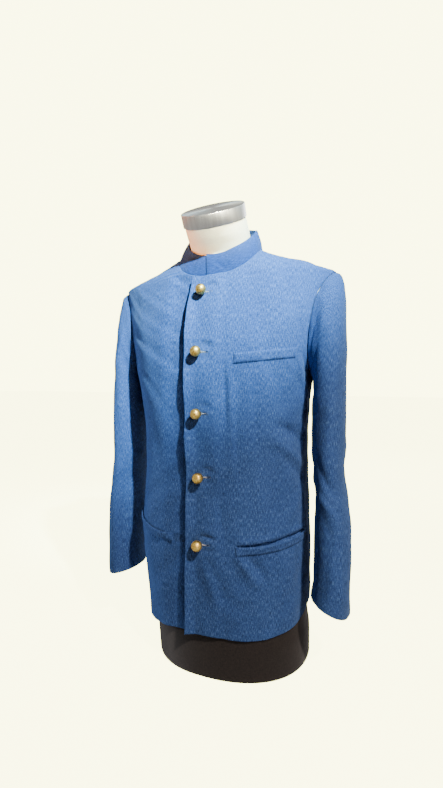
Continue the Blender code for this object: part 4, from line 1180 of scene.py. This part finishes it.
def lofted(name, rings, material):
    """A smooth solid through closed rings, with flat ends."""
    points = np.array(rings)
    mesh = new_mesh(name, points, ring_faces(*points.shape[:2]))
    fixed = bmesh.new()
    fixed.from_mesh(mesh)
    bmesh.ops.recalc_face_normals(fixed, faces=fixed.faces)
    fixed.to_mesh(mesh)
    fixed.free()
    mesh.set_sharp_from_angle(angle=math.radians(40))
    return add_piece(name, mesh, material)


def round_angles(count):
    return np.linspace(0, 2 * math.pi, count + 1)[:-1]


def ring_points(place, wide, deep, height, angle):
    return [tuple(place @ Vector((wide * math.cos(a), deep * math.sin(a), height))) for a in angle]


def form_ease(z):
    return smooth_curve(*np.array(EASE).T, z)


def level_ring(angle, z, ease):
    height = np.full(len(angle), z)
    normals = body_normal(angle, height)
    normals[:, 2] = 0
    return body_point(angle, height) - unit(normals) * np.reshape(ease, (-1, 1))


def yoke_ring(angle, z):
    away = np.minimum(1, SHOULDER_EASE_SPREAD * np.abs(np.sin(angle)))
    ease = SHOULDER_EASE + (form_ease(z) - SHOULDER_EASE) * away
    return body_point(angle, z) - body_normal(angle, z) * ease[:, None]


def neck_frame(ring):
    x, y, z, lean = ring[:4]
    tilt = Matrix.Rotation(NECK_SIDE_LEAN, 4, "Y") @ Matrix.Rotation(lean, 4, "X")
    return Matrix.Translation((x, y, z)) @ tilt


def form_body(material):
    angle = round_angles(FORM_SIDES)
    level = np.linspace(FORM_BODY_BOTTOM, FORM_LEVEL_TOP, FORM_LEVEL_ROWS)
    rings = [level_ring(angle, z, form_ease(z)) for z in level]
    neckline = neckline_height(angle)
    seam = up_the_side(SHOULDER_TIP_HEIGHT, NECK_SIDE_HEIGHT, np.linspace(0, 1, 9))[:, 1]
    low = FORM_YOKE_FROM
    up = (np.r_[low, FORM_YOKE_SECOND, seam] - low) / (NECK_SIDE_HEIGHT - low)
    for share in np.interp(np.linspace(0, 10, FORM_YOKE_ROWS), np.arange(11), up):
        rings.append(yoke_ring(angle, low + (neckline - low) * share))
    last = len(NECK_RINGS) - 1
    for step in np.linspace(0, last, FORM_NECK_ROWS):
        ring = [float(smooth_curve(np.arange(last + 1), size, step)) for size in zip(*NECK_RINGS)]
        rings.append(ring_points(neck_frame(ring), ring[4], ring[5], 0, angle))
    return lofted("form_body_linen", moved(np.array(rings)), material)


def form_base(material):
    angle = round_angles(FORM_SIDES)
    heights, lefts, rights = np.array(BASE_ROWS).T
    rings = []
    for z in np.r_[BASE_EDGE_HEIGHTS, np.linspace(*BASE_SIDE_HEIGHTS)]:
        left, right = (float(smooth_curve(heights, sizes, z)) for sizes in (lefts, rights))
        ease = (left + right) / 2 + (left - right) / 2 * np.cos(angle)
        round_off = BASE_ROUND * (1 - math.sqrt(max(0, 1 - (1 - min(z / BASE_ROUND, 1)) ** 2)))
        rings.append(level_ring(angle, z, ease + round_off))
    return lofted("form_base_cover", moved(np.array(rings)), material)


def neck_cap(material):
    place = neck_frame(NECK_RINGS[-1]) @ Matrix.Translation((0, 0, SEAM_GAP))
    rings = []
    for radius, height in CAP_PROFILE:
        radius = max(radius, CAP_TIP)
        rings.append(ring_points(place, radius, radius, height, round_angles(CAP_SIDES)))
    up = np.r_[0, np.cumsum(np.hypot(*np.diff(np.array(CAP_PROFILE), axis=0).T))]
    flat = stacked(*np.meshgrid(np.arange(CAP_SIDES + 1) / CAP_SIDES, up)).reshape(-1, 2)
    sides = flat[grid_faces(numbered(len(rings), CAP_SIDES + 1))].reshape(-1, 2)
    uv = np.concatenate([sides, [(0.0, 0.0)] * CAP_SIDES, [(0.0, up[-1])] * CAP_SIDES])
    faces = ring_faces(len(rings), CAP_SIDES)
    mesh = new_mesh("neck_cap_steel", moved(np.array(rings)), faces, 35, uv)
    return add_piece("neck_cap_steel", mesh, material)


def ball_button(number, height, material):
    """A dimpled ball on its shank."""
    centre = OVERLAP_LIFT + BUTTON_RADIUS
    arcs = np.linspace(0, math.pi - math.asin(SHANK_RADIUS / BUTTON_RADIUS), BUTTON_RINGS)
    outline = [(BUTTON_RADIUS * math.sin(a), centre + BUTTON_RADIUS * math.cos(a)) for a in arcs]
    outline[0] = (BUTTON_TIP, centre + BUTTON_RADIUS)
    outline += [(SHANK_RADIUS, SHANK_HEIGHT), (SHANK_RADIUS, 0.0), (BUTTON_TIP, 0.0)]
    angle = angle_at_x(centre_x(height), height)
    normal = Vector(body_normal(angle, height))
    foot = Vector(body_point(angle, height)) + normal * SEAM_GAP
    turn = normal.to_track_quat("Z", "Y").to_matrix().to_4x4()
    place = Matrix.Translation(foot + Vector((CENTRE_SHIFT, 0, 0))) @ turn
    rings = [ring_points(place, r, r, h, round_angles(BUTTON_SIDES)) for r, h in outline]
    return lofted("ball_button_%d" % number, rings, material)


def tube(points, radius, sides=8):
    """Rings of a thin round tube along a smooth line."""
    forward = unit(np.gradient(points, axis=0))
    side = unit(np.cross(forward, TUBE_ASIDE))
    lift = np.cross(side, forward)
    radius = np.broadcast_to(radius, len(points))[:, None, None]
    turn = round_angles(sides)[:, None]
    return points[:, None] + radius * (np.cos(turn) * side[:, None] + np.sin(turn) * lift[:, None])


def slit_outline(count):
    """A long slit with round ends, about its middle: across and up."""
    high = SLIT_HALF_HEIGHT
    half = BUTTONHOLE_LENGTH / 2 - high
    straight, arc = 2 * half, math.pi * high
    line = []
    for step in np.arange(count) * 2 * (straight + arc) / count:
        if step < straight:
            line.append((step - half, high))
        elif step < straight + arc:
            a = math.pi / 2 - (step - straight) / high
            line.append((half + high * math.cos(a), high * math.sin(a)))
        elif step < 2 * straight + arc:
            line.append((half - (step - straight - arc), -high))
        else:
            a = -math.pi / 2 - (step - 2 * straight - arc) / high
            line.append((-half + high * math.cos(a), high * math.sin(a)))
    return np.array(line)


def on_left_front(past, z, out):
    """Points this far over the left front's outer face; past is from its centre line."""
    angle = angle_at_x(past + centre_x(z), z)
    height = left_front_height(front_relief(angle, z), angle, z, past)
    return moved(body_point(angle, z) + body_normal(angle, z) * (height + out)[..., None])


def buttonhole(number, height, thread):
    """Close stitches round the slit: a tube that swells at every stitch."""
    outline = slit_outline(STITCH_POINTS)
    x, z = (outline * STITCH_SPREAD + (SLIT_MIDDLE, height)).T
    wave = np.sin(2 * math.pi * np.arange(STITCH_POINTS) / POINTS_A_STITCH)
    swell = STITCH_RADIUS * (1 + STITCH_SWELL * wave)
    rings = tube(on_left_front(x, z, STITCH_OUT), swell)
    closed = np.pad(numbered(*rings.shape[:2]), (0, 1), mode="wrap")
    name = "buttonhole_stitches_%d" % number
    return add_piece(name, new_mesh(name, rings, grid_faces(closed.T).tolist()), thread)


def cut_slits(piece):
    """Cuts the buttonholes through the left front and leaves no modifier."""
    outline = slit_outline(SLIT_POINTS)
    cutters = []
    for height in BUTTON_HEIGHTS:
        x, z = (outline + (SLIT_MIDDLE, height)).T
        rings = [on_left_front(x, z, out) for out in SLIT_CUTTER_REACH]
        cutters.append(lofted("slit_cutter", rings, piece.data.materials[0]))
        cut = piece.modifiers.new("slit", "BOOLEAN")
        cut.operation, cut.solver, cut.object = "DIFFERENCE", "EXACT", cutters[-1]
    bpy.context.view_layer.update()
    seen = piece.evaluated_get(bpy.context.evaluated_depsgraph_get())
    made = bpy.data.meshes.new_from_object(seen)
    old = piece.data
    piece.modifiers.clear()
    piece.data = made
    made.name = piece.name
    bpy.data.meshes.remove(old)
    for cutter in cutters:
        bpy.data.objects.remove(cutter)


def shank_threads(number, height, thread):
    """Pale threads that hold the button, seen beside it in the buttonhole."""
    t = np.linspace(0, 1, THREAD_POINTS)
    points, faces = [], []
    for strand, (start, rise, arch) in enumerate(STRANDS):
        reach = THREAD_REACH + THREAD_REACH_VARIES * math.sin(1.9 * strand + number)
        x = start + (reach - start) * t
        z = height + rise + THREAD_WAVE * np.sin(5.0 * t + strand + number)
        out = arch * np.sin(math.pi * t) ** 0.8 - THREAD_UNDER - THREAD_SINK * t
        rings = tube(on_left_front(x, z, out), THREAD_RADIUS)
        faces += ring_faces(*rings.shape[:2], len(points))
        points += rings.reshape(-1, 3).tolist()
    name = "button_threads_%d" % number
    return add_piece(name, new_mesh(name, points, faces), thread)


class Tree:
    """A short way to write a material's nodes."""

    def __init__(self, name, **sockets):
        self.material = bpy.data.materials.new(name)
        self.material.use_nodes = True
        self.nodes = self.material.node_tree.nodes
        self.links = self.material.node_tree.links
        self.shader = self.nodes["Principled BSDF"]
        for socket, value in sockets.items():
            self.shader.inputs[socket.replace("_", " ")].default_value = value

    def add(self, kind, inputs, **settings):
        """A node whose inputs each get a value or another node's output."""
        node = self.nodes.new("ShaderNode" + kind)
        for key, value in settings.items():
            setattr(node, key, value)
        for socket, value in inputs.items():
            if isinstance(value, bpy.types.NodeSocket):
                self.links.new(value, node.inputs[socket])
            else:
                node.inputs[socket].default_value = value
        return node

    def cloth_place(self):
        return self.add("UVMap", {}, uv_map="cloth").outputs[0]

    def object_place(self):
        return self.add("TexCoord", {}).outputs["Object"]

    def math(self, operation, a, b):
        return self.add("Math", {0: a, 1: b}, operation=operation).outputs[0]

    def mixed(self, *parts):
        """The sum of outputs, each times its share."""
        total = None
        for output, share in parts:
            part = self.math("MULTIPLY", output, share)
            total = self.math("ADD", total, part) if total else part
        return total

    def noise(self, place, scale, detail=2.0, rough=0.5):
        inputs = {"Vector": place, "Scale": scale, "Detail": detail, "Roughness": rough}
        return self.add("TexNoise", inputs).outputs["Fac"]

    def stretched(self, place, scale, turn=0.0):
        inputs = {"Vector": place, "Scale": scale, "Rotation": (0, 0, turn)}
        return self.add("Mapping", inputs).outputs[0]

    def streaks(self, place, scale, detail=2.0, rough=0.5):
        return self.noise(self.stretched(place, scale), 1.0, detail, rough)

    def ramp(self, value, *stops):
        node = self.add("ValToRGB", {"Fac": value})
        ramp = node.color_ramp
        while len(ramp.elements) < len(stops):
            ramp.elements.new(0.5)
        for element, (at, colour) in zip(ramp.elements, stops):
            element.position = at
            element.color = (*colour, 1)
        return node.outputs[0]

    def shaded(self, colour, shade):
        inputs = {0: 1.0, 6: colour, 7: shade}
        return self.add("Mix", inputs, data_type="RGBA", blend_type="MULTIPLY").outputs[2]

    def bump(self, height, strength, distance):
        inputs = {"Height": height, "Strength": strength, "Distance": distance}
        self.join(self.add("Bump", inputs).outputs[0], "Normal")

    def rough(self, low, more, output):
        self.join(self.math("ADD", low, self.math("MULTIPLY", output, more)), "Roughness")

    def join(self, output, socket):
        self.links.new(output, self.shader.inputs[socket])


def chambray(name, dark, mid, pale):
    """Heathered blue twill: pale and dark flecks along both yarns."""
    tree = Tree(
        name,
        Sheen_Weight=0.18,
        Sheen_Roughness=0.45,
        Sheen_Tint=(0.42, 0.66, 1.0, 1),
        Specular_IOR_Level=0.22,
    )
    place = tree.cloth_place()
    warp = tree.streaks(place, (780, 130, 1), 2.0, 0.65)
    weft = tree.streaks(place, (260, 700, 1), 2.0, 0.6)
    fine = tree.streaks(place, (1500, 1100, 1), 1.0)
    fleck = tree.mixed((warp, 0.58), (weft, 0.24), (fine, 0.18))
    colour = tree.ramp(fleck, (0.34, dark), (0.50, mid), (0.66, pale))
    cloud = tree.streaks(place, (16, 11, 1), 3.0, 0.55)
    shade = tree.ramp(cloud, (0.30, (0.82, 0.84, 0.88)), (0.70, (1.0, 1.0, 1.0)))
    tree.join(tree.shaded(colour, shade), "Base Color")
    slanted = tree.stretched(place, (1000, 1000, 1), math.radians(58))
    inputs = {"Vector": slanted, "Scale": 0.26, "Distortion": 0.6, "Detail": 1.0}
    twill = tree.add("TexWave", inputs).outputs["Fac"]
    tree.bump(tree.math("ADD", tree.math("MULTIPLY", twill, 0.45), fleck), 0.55, 0.0005)
    tree.rough(0.74, 0.28, fleck)
    return tree.material


def form_cover(name, sheen, specular, warp_scale, weft_scale, rough, stops, clouds=()):
    """Plain woven cover of the form, with slow clouds in its colour where it has any."""
    tree = Tree(name, Sheen_Weight=sheen, Specular_IOR_Level=specular)
    place = tree.object_place()
    warp, weft = (tree.streaks(place, scale) for scale in (warp_scale, weft_scale))
    thread = tree.mixed((warp, 0.5), (weft, 0.5))
    colour = tree.ramp(thread, *stops)
    if clouds:
        colour = tree.shaded(colour, tree.ramp(tree.noise(place, 22.0, 3.0), *clouds))
    tree.join(colour, "Base Color")
    tree.rough(rough, 0.3, thread)
    tree.bump(thread, 0.5, 0.0004)
    return tree.material


def linen():
    stops = ((0.33, (0.70, 0.68, 0.48)), (0.5, (0.80, 0.78, 0.58)), (0.68, (0.88, 0.86, 0.68)))
    clouds = ((0.3, (0.90, 0.89, 0.86)), (0.7, (1.0, 1.0, 1.0)))
    scales = (1300, 1300, 240), (230, 230, 1500)
    return form_cover("linen_cover", 0.15, 0.25, *scales, 0.72, stops, clouds)


def black_cloth():
    stops = ((0.35, (0.008, 0.006, 0.006)), (0.7, (0.030, 0.024, 0.021)))
    return form_cover("black_cover", 0.25, 0.2, (1100, 1100, 200), (200, 200, 1200), 0.66, stops)


def steel():
    tree = Tree("brushed_steel", Metallic=1.0, Anisotropic=0.6)
    place = tree.cloth_place()
    streak = tree.streaks(place, (420, 14, 1), 3.0, 0.6)
    both = tree.mixed((streak, 0.65), (tree.streaks(place, (34, 3, 1)), 0.35))
    tree.join(tree.ramp(both, (0.3, (0.40, 0.39, 0.38)), (0.7, (0.70, 0.70, 0.69))), "Base Color")
    tree.rough(0.20, 0.26, both)
    tree.bump(streak, 0.18, 0.0003)
    return tree.material


def brass():
    tree = Tree("antique_brass", Metallic=1.0)
    place = tree.object_place()
    tarnish = tree.noise(place, 260.0, 3.0, 0.6)
    stops = ((0.34, (0.42, 0.22, 0.05)), (0.50, (0.86, 0.56, 0.12)), (0.66, (0.98, 0.74, 0.24)))
    tree.join(tree.ramp(tarnish, *stops), "Base Color")
    tree.rough(0.26, 0.30, tarnish)
    tree.bump(tree.noise(place, 620.0), 0.35, 0.0005)
    return tree.material


def thread_material(name, dark, pale):
    tree = Tree(name, Roughness=0.7, Sheen_Weight=0.2)
    ply = tree.noise(tree.object_place(), 1800.0)
    tree.join(tree.ramp(ply, (0.35, dark), (0.65, pale)), "Base Color")
    tree.bump(ply, 0.4, 0.0002)
    return tree.material


def floor_material():
    tree = Tree(
        "pale_floor",
        Roughness=0.95,
        Specular_IOR_Level=0.0,
        Emission_Color=(*BACKGROUND, 1),
        Emission_Strength=FLOOR_GLOW,
    )
    cloud = tree.noise(tree.object_place(), 1.2)
    tree.join(tree.ramp(cloud, (0.3, FLOOR_LOW), (0.7, FLOOR_HIGH)), "Base Color")
    return tree.material


def camera():
    """The photograph's view: a short lens a little to the wearer's left."""
    c, s = math.cos(CAMERA_TURN), math.sin(CAMERA_TURN)
    level, drop = math.cos(CAMERA_PITCH), math.sin(CAMERA_PITCH)
    right = Vector((c, s, 0))
    forward = Vector((-s * level, c * level, -drop))
    x = CENTRE_SHIFT + CAMERA_ASIDE * c + CAMERA_DISTANCE * s
    y = CAMERA_ASIDE * s - CAMERA_DISTANCE * c + CAMERA_BACK
    axes = Matrix((right, right.cross(forward), -forward)).transposed()
    axes = axes @ Matrix.Rotation(CAMERA_ROLL, 3, "Z")
    data = bpy.data.cameras.new("photo_camera")
    data.lens = CAMERA_LENS
    data.sensor_width = CAMERA_SENSOR
    data.sensor_fit = "AUTO"
    data.clip_start = 0.01
    made = bpy.data.objects.new("photo_camera", data)
    made.matrix_world = Matrix.Translation((x, y, CAMERA_HEIGHT)) @ axes.to_4x4()
    bpy.context.scene.collection.objects.link(made)
    bpy.context.scene.camera = made


def add_light(row):
    """A soft disk, or a spot where a beam's angle is given."""
    lit = dict(zip(LIGHT_COLUMNS, row))
    data = bpy.data.lights.new(lit["name"], "SPOT" if lit["beam"] else "AREA")
    if lit["beam"]:
        data.spot_size, data.spot_blend = math.radians(lit["beam"]), lit["blend"]
        data.shadow_soft_size = lit["size"]
    else:
        data.shape, data.size = "DISK", lit["size"]
    data.energy, data.color = lit["power"], lit["colour"]
    made = bpy.data.objects.new(lit["name"], data)
    made.location = lit["place"]
    way = Vector(lit["target"]) - Vector(lit["place"])
    made.rotation_euler = way.to_track_quat("-Z", "Y").to_euler()
    made.visible_glossy = lit["mirrors"]
    bpy.context.scene.collection.objects.link(made)


def world():
    """A pale backdrop that lights the scene only a little."""
    made = bpy.data.worlds.new("studio")
    made.use_nodes = True
    nodes, links = made.node_tree.nodes, made.node_tree.links
    nodes.clear()
    path = nodes.new("ShaderNodeLightPath")

    def glow(colour, strength):
        node = nodes.new("ShaderNodeBackground")
        node.inputs[0].default_value = (*colour, 1)
        node.inputs[1].default_value = strength
        return node.outputs[0]

    def chosen(ray, other, own):
        mix = nodes.new("ShaderNodeMixShader")
        for i, output in enumerate((path.outputs[ray], other, own)):
            links.new(output, mix.inputs[i])
        return mix.outputs[0]

    lit = chosen("Is Glossy Ray", glow(FILL_COLOUR, FILL), glow(MIRRORED_COLOUR, MIRRORED))
    seen = chosen("Is Camera Ray", lit, glow(BACKGROUND, BACKGROUND_GLOW))
    links.new(seen, nodes.new("ShaderNodeOutputWorld").inputs[0])
    bpy.context.scene.world = made


def studio():
    world()
    for row in LIGHTS:
        add_light(row)
    corners = [(x * FLOOR_HALF, y * FLOOR_HALF, 0) for x, y in ((-1, -1), (1, -1), (1, 1), (-1, 1))]
    mesh = bpy.data.meshes.new("floor")
    mesh.from_pydata(corners, [], [(0, 1, 2, 3)])
    floor = add_piece("floor", mesh, floor_material())
    floor.visible_diffuse = False
    floor.visible_glossy = False


def keep(piece, slot, *nodes):
    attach(piece, "root")
    if nodes:
        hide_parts(*nodes)


def cloth(piece, node, slot="chambray"):
    keep(piece, slot, node)
    return piece


camera()
studio()
body_cloth = chambray("chambray", (0.014, 0.034, 0.100), (0.034, 0.092, 0.290), (0.130, 0.25, 0.56))
# The collar's chambray is a darker copy of the body's: painted shade on the collar
painted_shade_collar_cloth = chambray(
    "chambray_collar", (0.006, 0.019, 0.070), (0.011, 0.044, 0.175), (0.036, 0.10, 0.34)
)
brass_metal = brass()
blue_thread = thread_material("blue_thread", (0.035, 0.07, 0.16), (0.12, 0.20, 0.40))
pale_thread = thread_material("pale_thread", (0.45, 0.47, 0.50), (0.80, 0.82, 0.86))

form = form_body(linen())
keep(form, "linen", "form_body")
keep(form_base(black_cloth()), "black_cloth", "form_base")
keep(neck_cap(steel()), "steel", "form_neck_cap")

panels = {}
for name in ("front_left", "front_right", "back_left", "back_right"):
    panels[name] = panel(name, body_cloth)
    if name == "front_left":
        cut_slits(panels[name])
    cloth(panels[name], name)
cloth(collar(painted_shade_collar_cloth), "collar", "chambray_collar")
for row in WELTS:
    cloth(welt(row, body_cloth), row[0])
front_turn, back_turn = seam_turn(False), seam_turn(True)
for side, word in ((1, "left"), (-1, "right")):
    for part, first, last, cells in (
        ("top_sleeve_", front_turn, back_turn, TOP_SLEEVE_CELLS),
        ("under_sleeve_", back_turn, front_turn + 2 * math.pi, UNDER_SLEEVE_CELLS),
    ):
        made = sleeve_piece(part + word, first, last, cells, side, body_cloth)
        cloth(made, part + word)
for number, height in enumerate(BUTTON_HEIGHTS, 1):
    keep(ball_button(number, height, brass_metal), "brass", "button_%d" % number)
    keep(buttonhole(number, height, blue_thread), "chambray")
    keep(shank_threads(number, height, pale_thread), "chambray")
